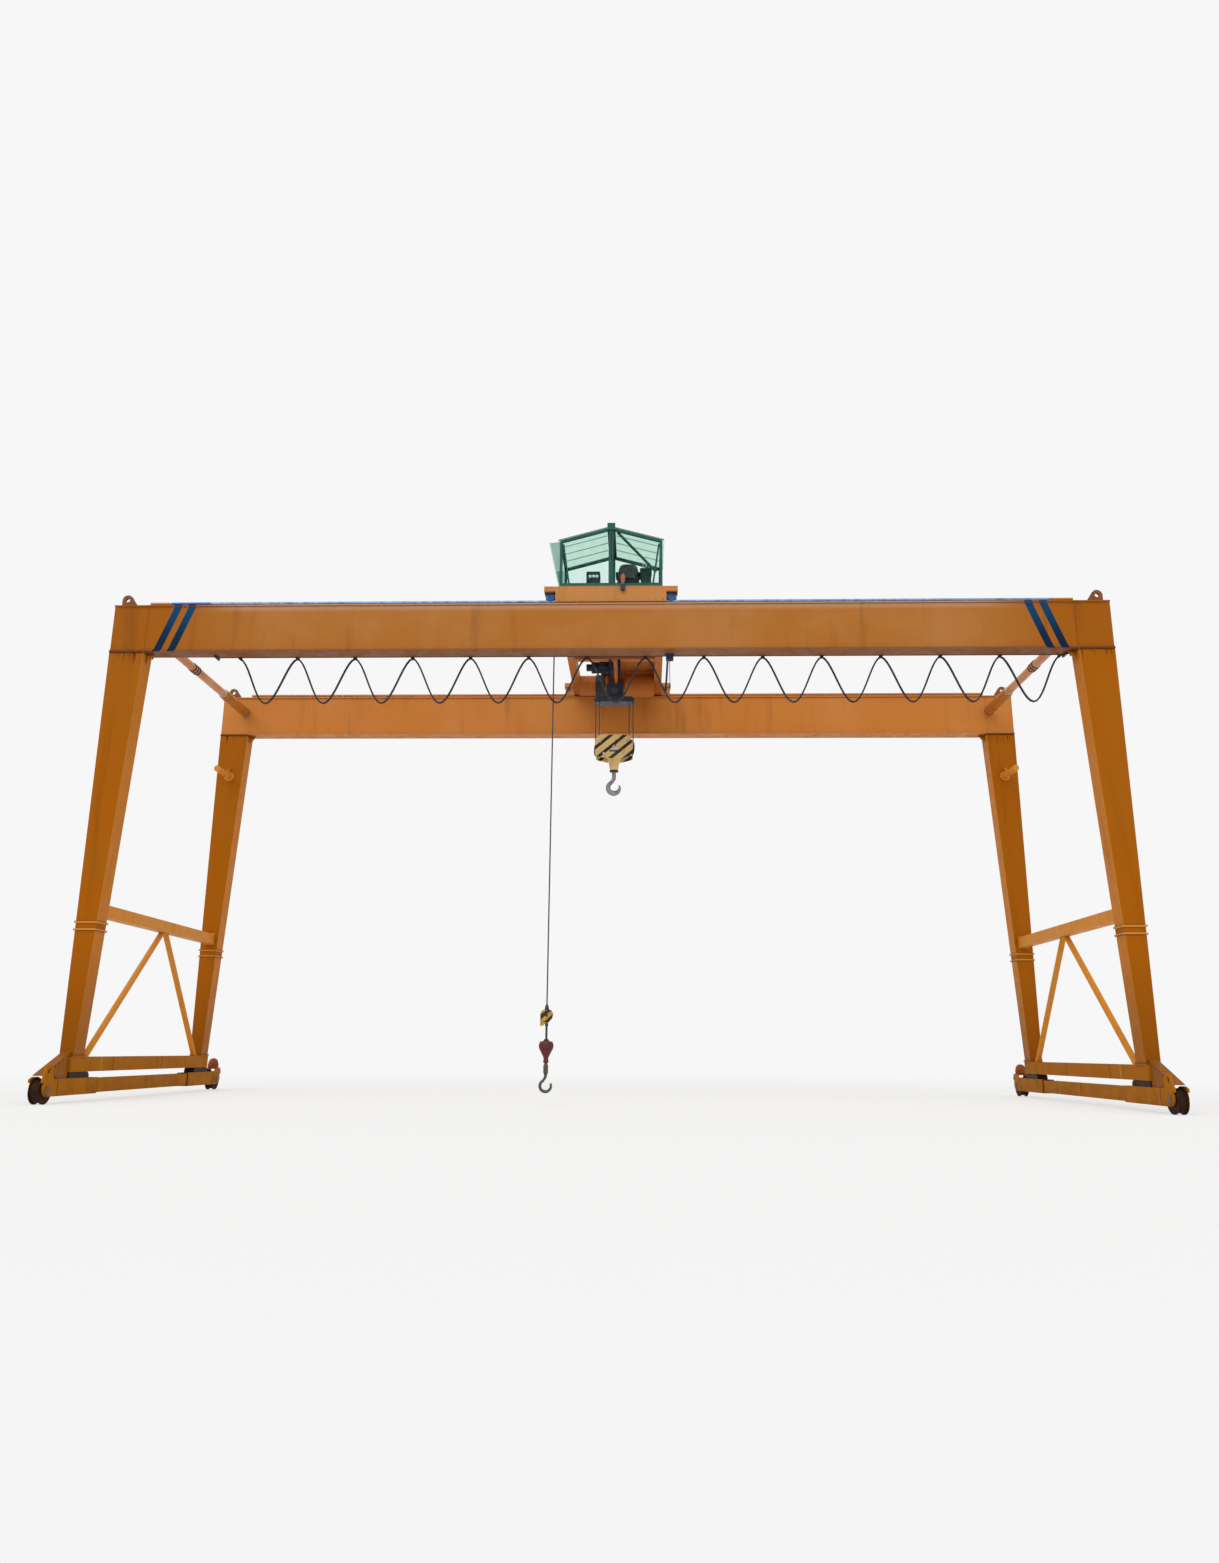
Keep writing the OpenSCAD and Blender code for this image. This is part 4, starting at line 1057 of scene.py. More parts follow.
def dress(finish: Finish, *nodes: str) -> None:
    """Gives a finish to frame nodes.

    Args:
        finish: Finish to give.
        nodes: Names of the nodes.
    """
    for name in nodes:
        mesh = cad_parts[name].data
        mesh.materials.clear()
        mesh.materials.append(finish.material())
    LOG.info("%s on %s", finish.name, ", ".join(nodes))


# ---------------------------------------------------------------- sub-assemblies


@dataclass
class Festoon:
    """Flat cable hung in loops under the front girder, with its wire and runners."""

    first: float = -7.49
    pitch: float = 16.58 / 14.0
    loops: int = 14
    y: float = -2.73
    top: float = 8.7174
    drop: float = 0.945
    fullness: float = 0.9
    wire: float = 8.755
    width: float = 0.05
    thickness: float = 0.034
    steps: int = 20

    def route(self) -> Array:
        """Centreline: each loop falls by a rounded cosine of its share, as in the part's source.

        Returns:
            Path points, one row each.
        """
        share = np.arange(self.loops * self.steps + 1) / self.steps
        fall = ((1.0 - np.cos(2.0 * np.pi * share)) / 2.0) ** self.fullness
        return xyz(self.first + self.pitch * share, self.y, self.top - self.drop * fall)

    def build_cable(self) -> None:
        path = self.route()
        shell = Shell().rings(carried(path, flat_section(self.width, self.thickness), ALONG_Y))
        cable = shell.piece("festoon_flat_cable", CABLE_SHEATH, Body.FRAME, Slot.RUBBER)
        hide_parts("festoon_cable")

    def build_runners(self) -> None:
        """Adds two runner rings on the wire and four bolts at each hanger."""
        part = Shell()
        for low in (-0.03, 0.014):
            part.rings(lathe(collar(0.0125, 0.019, low, low + 0.016, 0.002), 14, Axis.X))
        part.bolts(Bolt.SMALL, xyz(np.array([-0.02, 0.02]), -0.035, -0.02))
        hangers = xyz(self.first + self.pitch * np.arange(self.loops + 1), self.y, self.wire)
        Shell().copies(part, hangers).piece("festoon_runners", DARK_STEEL, Body.FRAME, Slot.DARK)

    def build(self) -> None:
        """Dresses the wire and hangers, and adds the cable and runners."""
        dress(DARK_STEEL, "festoon_wire")
        dress(CABLE_SHEATH, "festoon_hangers")
        self.build_cable()
        self.build_runners()


@dataclass
class Portal:
    """Girders, legs, ties and braces, with their bolts, welds, rail clips and limit switch."""

    half_length: float = 10.0
    half_gauge: float = 2.99
    girder_low: float = 8.74
    girder_high: float = 9.73
    web: float = 0.17
    flange: float = 0.025
    bead: float = 0.011
    leg_low: float = 0.81
    leg_foot: float = 0.27
    leg_top: float = 0.70
    leg_depth: float = 0.38
    splice: tuple[float, float] = (3.14, 3.30)
    lip: float = 0.025
    end_gap: float = 0.03
    tie: tuple[float, float] = (9.4, 9.32)
    tie_collar: tuple[float, float] = (0.11, 0.04)
    clip_reach: float = 9.2
    clip_side: float = 0.085
    clips: int = 24
    switch: tuple[float, float] = (1.29, -2.87)
    ends: Array = field(default_factory=lambda: np.array([[-1, -1], [1, -1], [-1, 1], [1, 1]], float))

    def leg_width(self, level: float) -> float:
        """Width of a leg at a height: it grows evenly from foot to head."""
        share = (level - self.leg_low) / (self.girder_low - self.leg_low)
        return self.leg_foot + (self.leg_top - self.leg_foot) * share

    def plate_bolts(self, level: float, width: float, along_x: int, along_y: int,
                    outer: bool = True) -> Array:
        """Bolt places round a leg on the lips of a plate at one height, mirrored to all four legs.

        Args:
            level: Height of the bolt seats.
            width: Width of the leg there.
            along_x: Bolts on each side that runs along X.
            along_y: Bolts on each side that runs along Y.
            outer: Whether the plate has a lip on the end face too.

        Returns:
            Places at all four legs.
        """
        inset = self.lip / 2.0
        end = self.half_length + (inset if outer else -self.end_gap)
        deep = self.leg_depth / 2.0 + inset
        ring = around((self.half_length - width - inset, -deep), (end, deep), level, along_x, along_y)
        if not outer:
            ring = ring[ring[:, 0] < end - 1e-6]
        every = ring * np.insert(self.ends, 2, 1.0, axis=1)[:, None]
        every[..., 1] += self.ends[:, None, 1] * self.half_gauge
        return every.reshape(-1, 3)

    def build_bolts(self) -> None:
        """Adds the bolts of the splices, of the head and foot plates, and of the tie collars."""
        low, high = self.splice
        under, over = Bolt.PLATE.head(flip=True), Bolt.PLATE.head()
        shell = Shell()
        shell.copies(under, self.plate_bolts(low, self.leg_width(low), 6, 4))
        shell.copies(over, self.plate_bolts(high, self.leg_width(high), 6, 4))
        shell.copies(under, self.plate_bolts(self.girder_low - self.flange, self.leg_top, 9, 5, False))
        shell.copies(over, self.plate_bolts(self.leg_low + self.flange, self.leg_foot, 5, 5, False))
        radius, thick = self.tie_collar
        angle = round_angles(10)
        ring = xyz(radius * np.cos(angle), 0.0, radius * np.sin(angle))
        seat = self.half_gauge - self.web - thick
        for side in SIDES:
            rings = [ring + [end * self.tie[0], side * seat, self.tie[1]] for end in SIDES]
            shell.copies(Bolt.TIE.head(Axis.Y, side > 0.0), np.concatenate(rings))
        shell.piece("portal_bolts", BOLT_STEEL, Body.FRAME, Slot.ORANGE)

    def build_welds(self) -> None:
        """Adds a fillet of weld where each web meets its flanges: a hollow quarter round drawn along X."""
        sunk = -0.002
        angle = np.linspace(np.pi / 2.0, 0.0, 5)[1:-1]
        arc = self.bead * (1.0 - np.stack([np.sin(angle), np.cos(angle)], axis=1))
        fillet = np.concatenate([[[sunk, sunk], [self.bead, sunk]], arc, [[sunk, self.bead]]])
        path = xyz(np.linspace(0.01 - self.half_length, self.half_length - 0.01, 41), 0.0, 0.0)
        flanges = ((self.girder_low + self.flange, 1.0), (self.girder_high - self.flange, -1.0))
        shell = Shell()
        for y in (-self.half_gauge, self.half_gauge):
            for side in SIDES:
                for level, way in flanges:
                    section = xyz(0.0, y + side * (self.web + fillet[:, 0]), level + way * fillet[:, 1])
                    shell.rings(path[:, None] + section)
        shell.piece("girder_welds", WELD_COAT, Body.FRAME, Slot.ORANGE)

    def build_rail_clips(self) -> None:
        """Adds a clamp with a bolt on both sides of the rails, every eight tenths of a metre."""
        part = Shell().rings(slab((-0.035, -0.03, -0.002), (0.035, 0.03, 0.016), 0.005))
        part.copies(Bolt.CLIP.head(), np.array([[0.0, 0.005, 0.016]]))
        xs = np.linspace(-self.clip_reach, self.clip_reach, self.clips)
        seats = [xyz(xs, y + way * self.clip_side, self.girder_high)
                 for y in (-self.half_gauge, self.half_gauge) for way in SIDES]
        Shell().copies(part, np.concatenate(seats)).piece("rail_clips", DARK_STEEL, Body.FRAME, Slot.DARK)

    def build_tie_sleeves(self) -> None:
        """Adds a sleeve with a bright joint ring on the rear part of each tie, and dark cable bands."""
        sleeve, ring, bands = Shell(), Shell(), Shell()
        for end in SIDES:
            spot = (end * self.tie[0], 0.0, self.tie[1])
            sleeve.rings(lathe([(0.091, 1.26), (0.118, 1.28), (0.118, 2.7), (0.1, 2.77)], 40, Axis.Y, spot))
            for y in (1.5, 2.4):
                sleeve.rings(lathe(collar(0.117, 0.127, y - 0.02, y + 0.02), 40, Axis.Y, spot))
            ring.rings(lathe([(0.09, 1.2), (0.1, 1.204), (0.1, 1.26), (0.092, 1.264)], 40, Axis.Y, spot))
            for y in (-0.62, -0.5, -0.38):
                bands.rings(lathe(collar(0.09, 0.104, y - 0.018, y + 0.018), 32, Axis.Y, spot))
        sleeve.piece("tie_sleeves", SLEEVE_COAT, Body.FRAME, Slot.ORANGE)
        ring.piece("tie_joint_rings", PIN_STEEL, Body.FRAME, Slot.RAIL)
        bands.piece("tie_cable_bands", CABLE_SHEATH, Body.FRAME, Slot.RUBBER)

    def build_switch(self) -> None:
        """Adds the limit switch under the front girder: a lidded box with a hanging pull rod."""
        spot = np.array([*self.switch, self.girder_low])
        box, rod = Shell(), Shell()
        box.rings(slab((-0.075, -0.055, -0.13), (0.075, 0.055, 0.002), 0.01) + spot)
        box.rings(slab((-0.065, 0.05, -0.12), (0.065, 0.064, -0.012), 0.004) + spot)
        box.rings(slab((-0.1, -0.035, -0.012), (0.1, 0.035, 0.001), 0.003) + spot)
        rod.rings(lathe([(0.011, -0.7), (0.018, -0.69), (0.018, -0.66), (0.006, -0.65), (0.006, -0.15),
                         (0.02, -0.14), (0.02, -0.125)], 14, at=spot))
        lid = np.array([[x, 0.063, z] for x in (-0.05, 0.05) for z in (-0.105, -0.027)])
        rod.copies(Bolt.SMALL.head(Axis.Y), lid + spot)
        box.piece("limit_switch_box", SWITCH_COAT, Body.FRAME, Slot.DARK)
        rod.piece("limit_switch_rod", DARK_STEEL, Body.FRAME, Slot.DARK)

    def build(self) -> None:
        """Dresses the portal's nodes and adds its small pieces."""
        dress(GIRDER_COAT, "front_girder")
        dress(REAR_COAT, "rear_girder")
        dress(RAIL_STEEL, "trolley_rails")
        dress(LEG_COAT, "front_left_leg", "front_right_leg", "rear_left_leg", "rear_right_leg")
        dress(SPLICE_COAT, "leg_splices")
        dress(STRUT_COAT, "leg_stubs", "leg_struts", "leg_braces")
        dress(TIE_HIGHLIT_COAT, "end_ties")
        dress(LUG_COAT, "lifting_lugs")
        self.build_bolts()
        self.build_welds()
        self.build_rail_clips()
        self.build_tie_sleeves()
        self.build_switch()


@dataclass
class TravelGear:
    """Sills, end carriages, wheels, covers and travel motors on the ground."""

    foot: float = 9.865
    wheel: tuple[float, float] = (3.95, 0.23)
    half_width: float = 0.13
    motor_low: float = 0.515
    motor_radius: float = 0.115
    cover_low: tuple[float, float] = (-4.03, 0.505)
    cover_high: tuple[float, float] = (-3.22, 0.85)
    cover_half: float = 0.085

    def build_axle_caps(self) -> None:
        """Adds a turned cap with four bolts on both ends of each travel axle."""
        dome = [(0.085, -0.002), (0.085, 0.01), (0.07, 0.016), (0.03, 0.02)]
        cap = Shell().rings(lathe(dome, 28, Axis.X))
        angle = np.pi / 4.0 + round_angles(4)
        cap.copies(Bolt.CAP.head(Axis.X), xyz(0.012, 0.058 * np.cos(angle), 0.058 * np.sin(angle)))
        shell = Shell()
        for way in SIDES:
            hubs = [[end * self.foot + way * self.half_width, side * self.wheel[0], self.wheel[1]]
                    for end in SIDES for side in SIDES]
            shell.copies(cap, np.array(hubs), np.diag([way, way, 1.0]))
        shell.piece("axle_caps", BOLT_STEEL, Body.FRAME, Slot.ORANGE)

    def build_motor_ribs(self) -> None:
        """Adds a ribbed barrel, a cowl ring and a terminal box to each travel motor."""
        ribs, boxes = Shell(), Shell()
        for end in SIDES:
            spot = np.array([end * self.foot, self.wheel[0], self.motor_low])
            ribs.rings(fluted(self.motor_radius + 0.001, 0.009, 30, 0.0, 0.11, Axis.Z, spot))
            ribs.rings(lathe([(0.13, -0.001), (0.13, 0.014), (0.122, 0.02)], 32, at=spot))
            boxes.rings(slab((-0.045, -0.165, 0.02), (0.045, -0.108, 0.095), 0.008) + spot)
        ribs.piece("travel_motor_ribs", MOTOR_COAT, Body.FRAME, Slot.ORANGE)
        boxes.piece("travel_motor_boxes", MOTOR_COAT, Body.FRAME, Slot.ORANGE)

    def build_cover_bolts(self) -> None:
        """Adds rows of bolts down both flanks of the front gear covers."""
        low, high = np.array(self.cover_low), np.array(self.cover_high)
        row = low + (high - low) * np.linspace(0.12, 0.88, 6)[:, None]
        shell = Shell()
        for end in SIDES:
            for way in SIDES:
                seats = xyz(end * self.foot + way * self.cover_half, row[:, 0], row[:, 1])
                shell.copies(Bolt.COVER.head(Axis.X, way < 0.0), seats)
        shell.piece("gear_cover_bolts", BOLT_STEEL, Body.FRAME, Slot.ORANGE)

    def build(self) -> None:
        """Dresses the travel gear and adds its small pieces."""
        dress(SILL_COAT, "sills")
        dress(CARRIAGE_COAT, "left_end_carriage", "right_end_carriage")
        dress(SADDLE_COAT, "carriage_saddles")
        dress(COVER_COAT, "gear_covers")
        dress(MOTOR_COAT, "travel_motors")
        dress(WHEEL_STEEL, "front_left_wheel", "front_right_wheel", "rear_left_wheel", "rear_right_wheel")
        self.build_axle_caps()
        self.build_motor_ribs()
        self.build_cover_bolts()


@dataclass
class Trolley:
    """Trucks, deck, drum and hoist gear that run along the girders."""

    place: float = 0.105
    drum: tuple[float, float] = (2.05, 9.761)
    drum_radius: float = 0.25
    drum_start: float = -0.52
    motor: tuple[float, float] = (1.025, 9.866)
    motor_radius: float = 0.125
    rope: float = 0.024
    turns: int = 10
    crown: tuple[float, float] = (8.63, 8.75)
    crown_depth: float = 0.17
    case_top: float = 9.07
    front: float = -3.13
    horn: tuple[float, float] = (0.347, 10.0)

    def build_windings(self) -> None:
        """Adds the rope layer on the drum."""
        layer = rope_turns(self.drum_radius, self.rope, self.turns, self.drum_start, 48, Axis.X,
                           (self.place, *self.drum))
        Shell().rings(layer).piece("drum_rope_turns", ROPE_WIRE, Body.TROLLEY, Slot.ROPE)

    def build_motor(self) -> None:
        """Adds ribs, an end bell and a terminal box to the hoist motor."""
        spot = np.array([self.place, *self.motor])
        shell = Shell().rings(fluted(self.motor_radius + 0.001, 0.011, 34, -0.54, -0.12, Axis.X, spot))
        bell = [(0.138, -0.12), (0.142, -0.11), (0.142, -0.07), (0.12, -0.05)]
        shell.rings(lathe(bell, 36, Axis.X, spot))
        shell.rings(lathe([(0.142, -0.575), (0.142, -0.54)], 36, Axis.X, spot))
        shell.rings(slab((-0.4, -0.2, -0.06), (-0.24, -0.12, 0.06), 0.01) + spot)
        shell.piece("hoist_motor_ribs", GEAR_COAT, Body.TROLLEY, Slot.DARK)

    def build_crown_trim(self) -> None:
        """Adds bolts, ribs and a pin boss to the crown block and its gear case."""
        low, high = self.crown
        depth = self.crown_depth - 0.02
        shell, ribs = Shell(), Shell()
        for level in (low + 0.03, high - 0.03):
            xs = self.place + np.array([-0.36, -0.2, 0.2, 0.36])
            shell.bolts(Bolt.CASE, xyz(xs, -self.crown_depth, level))
        for level in (high + 0.04, self.case_top - 0.04):
            xs = self.place + np.linspace(-0.155, 0.175, 4)
            shell.bolts(Bolt.CASE, xyz(xs, -depth, level))
        shell.piece("crown_bolts", DARK_STEEL, Body.TROLLEY, Slot.DARK)
        proud = self.crown_depth + 0.014
        for x in (-0.28, 0.0, 0.28):
            ribs.rings(slab((self.place + x - 0.014, -proud, low + 0.004),
                            (self.place + x + 0.014, proud, high - 0.002), 0.005))
        ribs.rings(lathe(collar(0.07, 0.08, -depth - 0.02, depth + 0.02, 0.01), 28, Axis.Y,
                         (self.place + 0.01, 0.0, (high + self.case_top) / 2.0)))
        ribs.piece("crown_ribs", CROWN_COAT, Body.TROLLEY, Slot.DARK)

    def build_signal(self) -> None:
        """Adds the upright signal horn on a bracket at the front truck: its bell swells by a sine."""
        spot = np.array([self.horn[0], self.front - 0.046, self.horn[1]])
        base = Shell().rings(slab((-0.03, -0.008, 0.03), (0.03, 0.05, 0.045), 0.003) + spot)
        base.rings(lathe([(0.036, 0.0), (0.044, 0.01), (0.046, 0.09), (0.036, 0.13)], 24, at=spot))
        base.piece("horn_base", GEAR_COAT, Body.TROLLEY, Slot.DARK)
        rise = np.linspace(0.0, 1.0, 14)
        radius = 0.03 + 0.016 * np.sin(np.pi * np.clip(rise * 1.15 - 0.1, 0.0, 1.0))
        radius[-3:] *= np.array([0.86, 0.6, 0.25])
        bell = Shell().rings(lathe(np.stack([radius, 0.13 + 0.236 * rise], axis=1), 28, at=spot))
        bell.piece("horn_bell", HORN_COAT, Body.TROLLEY, Slot.RED)

    def build_truck_bolts(self) -> None:
        """Adds bolts along both truck fronts and at their wing ends."""
        xs = np.concatenate([np.linspace(-1.05, 1.05, 15), [-1.3, -1.2, 1.2, 1.3]]) + self.place
        shell = Shell()
        for level, count in ((9.82, 15), (10.08, 19)):
            shell.bolts(Bolt.TRUCK, xyz(xs[:count], self.front, level))
        shell.piece("truck_bolts", TRUCK_COAT, Body.TROLLEY, Slot.ORANGE)

    def build(self) -> None:
        """Dresses the trolley's nodes and adds its small pieces."""
        dress(TRUCK_COAT, "trolley_trucks")
        dress(BEAM_COAT, "deck_beams", "deck_crossbeams")
        dress(DECK_COAT, "deck_plate")
        dress(GEAR_COAT, "hoist_motor", "hoist_hanger", "aux_hoist")
        dress(DRUM_COAT, "drum_cover", "rope_drum")
        dress(CROWN_COAT, "crown_block")
        dress(TROLLEY_WHEEL_STEEL, "drive_wheelset", "front_idler", "rear_idler")
        self.build_windings()
        self.build_motor()
        self.build_crown_trim()
        self.build_signal()
        self.build_truck_bolts()


@dataclass
class Cab:
    """Glazed cab over the front truck, with its seals, seat and controls."""

    place: float = 0.105
    floor: float = 10.133
    eaves: float = 11.123
    ridge: float = 11.413
    half: float = 1.045
    front: float = -3.13
    back: float = -1.73
    bar: float = 0.05
    post: float = 0.043
    vent_tilt: float = math.radians(12.5)
    vent_reach: float = 0.93
    seat: tuple[float, float] = (0.34, -2.45)

    def opening(self, side: float) -> Array:
        """Corners of a gable light in X and Z, on one side of the middle post.

        Args:
            side: Side of the post, -1 or 1.

        Returns:
            Four corners, one row each.
        """
        edge = self.half - self.bar
        slope = (self.ridge - self.eaves) / self.half
        sill, head = self.floor + self.bar, self.ridge - self.bar * 1.1
        corners = np.array([[self.post, sill], [edge, sill],
                            [edge, head - slope * edge], [self.post, head - slope * self.post]])
        return corners * [side, 1.0] + [self.place, 0.0]

    def build_seals(self) -> None:
        """Adds a rubber bead round each light, on both faces: a round section carried round the opening."""
        share = np.linspace(0.0, 1.0, 12, endpoint=False)[:, None]
        shell = Shell()
        for pane in (self.front + self.bar / 2.0, self.back - self.bar / 2.0):
            for y in (pane - 0.01, pane + 0.01):
                for side in SIDES:
                    corners = self.opening(side)
                    onward = np.roll(corners, -1, axis=0)
                    loop = np.concatenate([a + (b - a) * share for a, b in zip(corners, onward)])
                    path = xyz(loop[:, 0], y, loop[:, 1])
                    shell.rings(carried(path, round_section(0.008, 8), ALONG_Y, True), True)
        shell.piece("window_seals", SEAL_RUBBER, Body.TROLLEY, Slot.RUBBER)

    def build_vent_cheeks(self) -> None:
        """Adds a three-cornered pane at both ends of the tilted side window, between it and the posts."""
        foot = np.array([self.place - self.half - 0.001, self.floor + 0.034])
        top = foot + [0.0, self.vent_reach]
        tip = foot + self.vent_reach * np.array([-math.sin(self.vent_tilt), math.cos(self.vent_tilt)])
        x, z = np.array([foot, top, tip]).T
        shell = Shell()
        for low in (self.front + 0.012, self.back - 0.02):
            shell.rings(np.stack([xyz(x, low, z), xyz(x, low + 0.008, z)]))
        shell.piece("vent_cheeks", VENT_GLASS, Body.TROLLEY, Slot.GLASS)

    def build_seat(self) -> None:
        """Makes the seat: a turned pedestal with arms, a stuffed cushion and a stuffed back."""
        spot = np.array([self.place + self.seat[0], self.seat[1], self.floor])
        stand = Shell().rings(lathe([(0.15, 0.0), (0.15, 0.02), (0.06, 0.05), (0.05, 0.26), (0.12, 0.3),
                                     (0.12, 0.32)], 32, at=spot))
        stand.rings(slab((-0.19, -0.19, 0.3), (0.19, 0.19, 0.335), 0.01) + spot)
        for way in SIDES:
            arm, strut = way * 0.23, way * 0.22
            stand.rings(slab((arm - 0.03, -0.14, 0.5), (arm + 0.03, 0.2, 0.54), 0.012) + spot)
            stand.rings(slab((strut - 0.012, 0.08, 0.33), (strut + 0.012, 0.14, 0.51), 0.005) + spot)
        stand.piece("seat_stand", CONSOLE_COAT, Body.TROLLEY, Slot.GREEN)
        cushion = Shell().rings(pillow((-0.22, -0.22, 0.325), (0.22, 0.22, 0.43), 0.45) + spot)
        cushion.piece("seat_cushion", SEAT_VINYL, Body.TROLLEY, Slot.RUBBER, 1.2)
        rest = Shell().rings(pillow((-0.21, 0.155, 0.42), (0.21, 0.24, 0.86), 0.4) + spot)
        rest.piece("seat_back", SEAT_VINYL, Body.TROLLEY, Slot.RUBBER, 1.2)

    def build_controls(self) -> None:
        """Makes the instrument box with its dials, and the side console with its levers."""
        spot = np.array([self.place, self.front, self.floor])
        desk, side, sticks = Shell(), Shell(), Shell()
        desk.rings(slab((-0.56, 0.18, 0.0), (-0.18, 0.48, 0.09), 0.012) + spot)
        desk.rings(slab((-0.51, 0.2, 0.08), (-0.23, 0.46, 0.4), 0.015) + spot)
        desk.rings(slab((-0.49, 0.19, 0.13), (-0.25, 0.21, 0.37), 0.008) + spot)
        side.rings(slab((0.6, 0.62, 0.0), (0.82, 0.9, 0.6), 0.012) + spot)
        side.rings(slab((0.585, 0.6, 0.59), (0.835, 0.92, 0.66), 0.014) + spot)
        box = desk.piece("instrument_box", CONSOLE_COAT, Body.TROLLEY, Slot.GREEN)
        side.piece("side_console", CONSOLE_COAT, Body.TROLLEY, Slot.GREEN)
        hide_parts("cab_fittings")
        stick = lathe([(0.024, 0.0), (0.026, 0.012), (0.008, 0.03), (0.007, 0.12), (0.02, 0.13),
                       (0.024, 0.15), (0.018, 0.168)], 18)
        for x, y in ((0.65, 0.72), (0.77, 0.72), (0.71, 0.82)):
            sticks.rings(stick + [x, y, 0.655] + spot)
        dial = lathe([(0.03, 0.0), (0.032, 0.008), (0.028, 0.01)], 20, Axis.Y) * MIRROR_Y
        for x in (-0.43, -0.36, -0.29):
            sticks.rings(dial + [x, 0.191, 0.28] + spot)
        sticks.piece("levers_and_dials", PIN_STEEL, Body.TROLLEY, Slot.DARK)

    def build_roof_bars(self) -> None:
        """Adds slim glazing bars up both roof slopes: a four-cornered section carried up each slope."""
        rise = 0.012
        section = np.array([[-0.007, 0.0], [0.007, 0.0], [0.007, rise], [-0.007, rise]])
        reach = np.linspace(0.09, self.half + 0.03, 9)
        levels = self.ridge - (self.ridge - self.eaves) / self.half * reach + rise
        shell = Shell()
        for side in SIDES:
            for y in np.linspace(self.front + 0.02, self.back - 0.02, 5):
                path = xyz(self.place + side * reach, y, levels)
                shell.rings(carried(path, section * [1.0, side], ALONG_Y))
        shell.piece("roof_glazing_bars", ROOF_BAR_COAT, Body.TROLLEY, Slot.GREEN)

    def build(self) -> None:
        """Dresses the cab's nodes and adds its small pieces."""
        dress(CAB_FLOOR_COAT, "cab_floor")
        dress(CAB_COAT, "cab_frame")
        dress(CAB_GLASS, "cab_glazing")
        dress(ROOF_GLASS, "cab_roof")
        dress(VENT_GLASS, "cab_vent")
        self.build_seals()
        self.build_vent_cheeks()
        self.build_seat()
        self.build_controls()
        self.build_roof_bars()


@dataclass
class MainHoist:
    """Hook block on four rope falls under the crown block."""

    place: float = 0.105
    crown: float = 8.63
    sheave: float = 7.57
    neck: float = 7.035
    face: float = 0.208
    sheave_x: float = 0.38
    sheave_radius: float = 0.15
    turn: float = math.radians(18.0)
    rope: float = 0.024
    lay: float = 0.16

    def turned(self) -> Array:
        """Rotation of each sheave about its own upright axis."""
        c, s = math.cos(self.turn), math.sin(self.turn)
        return np.array([[c, -s, 0.0], [s, c, 0.0], [0.0, 0.0, 1.0]])

    def build_ropes(self) -> None:
        """Makes the four falls as stranded rope, and the turn of rope under each sheave."""
        levels = np.linspace(self.crown + 0.02, self.sheave, 96)
        turned = self.turned()
        for column, across in (("left", -1.0), ("right", 1.0)):
            for row, deep in (("front", -1.0), ("rear", 1.0)):
                x, y, _ = turned @ [0.0, deep * self.sheave_radius, 0.0]
                x += self.place + across * self.sheave_x
                strands = stranded(xyz(x, y, levels), self.rope / 2.0, self.lay, ALONG_X)
                fall = Shell().rings(strands).piece(f"main_rope_{column}_{row}", ROPE_WIRE, None,
                                                    Slot.ROPE, 1.0)
                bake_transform(fall)
                if (column, row) == ("left", "front"):
                    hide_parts("main_ropes")
        angle = np.linspace(np.pi, 2.0 * np.pi, 33)
        arc = self.sheave_radius * xyz(0.0, np.cos(angle), np.sin(angle)) @ turned.T
        wraps = Shell()
        for across in SIDES:
            path = arc + [self.place + across * self.sheave_x, 0.0, self.sheave]
            wraps.rings(stranded(path, self.rope / 2.0, self.lay, turned @ ALONG_X))
        wraps.piece("sheave_rope_turns", ROPE_WIRE, Body.BLOCK, Slot.ROPE, 1.0)

    def build_block_trim(self) -> None:
        """Adds the pin ends, keeper plates and bolts of the block, and the collar over the hook."""
        middle = np.array([self.place, 0.0, self.sheave])
        pins, plates = Shell(), Shell()
        cap = lathe([(0.056, -0.004), (0.056, 0.012), (0.044, 0.02), (0.012, 0.022)], 28, Axis.Y)
        edge = lathe([(0.03, -0.004), (0.03, 0.01), (0.022, 0.014)], 20, Axis.Y)
        for way in SIDES:
            mirror, seat = np.array([1.0, way, 1.0]), way * self.face
            pins.rings(cap * mirror + [0.02, seat, -0.02] + middle)
            for x, z in ((-0.3, 0.13), (0.3, 0.13), (-0.22, -0.16), (0.22, -0.16)):
                pins.rings(edge * mirror + [x, seat, z] + middle)
            keeper = seat - way * 0.001
            plates.rings(slab((-0.1, keeper - 0.004, -0.12), (0.14, keeper + 0.008, -0.085), 0.003) + middle)
        plates.rings(lathe([(0.088, 0.0), (0.1, 0.006), (0.1, 0.03), (0.09, 0.036)], 32,
                           at=(self.place, 0.0, self.neck - 0.004)))
        pins.piece("block_pins", PIN_STEEL, Body.BLOCK, Slot.DARK)
        plates.piece("block_keepers", DARK_STEEL, Body.BLOCK, Slot.DARK)

    def build(self) -> None:
        """Dresses the block and hook, and adds ropes and small pieces."""
        dress(BLOCK_COAT, "main_block")
        dress(DARK_STEEL, "main_sheaves")
        dress(HOOK_STEEL, "main_hook")
        self.build_ropes()
        self.build_block_trim()


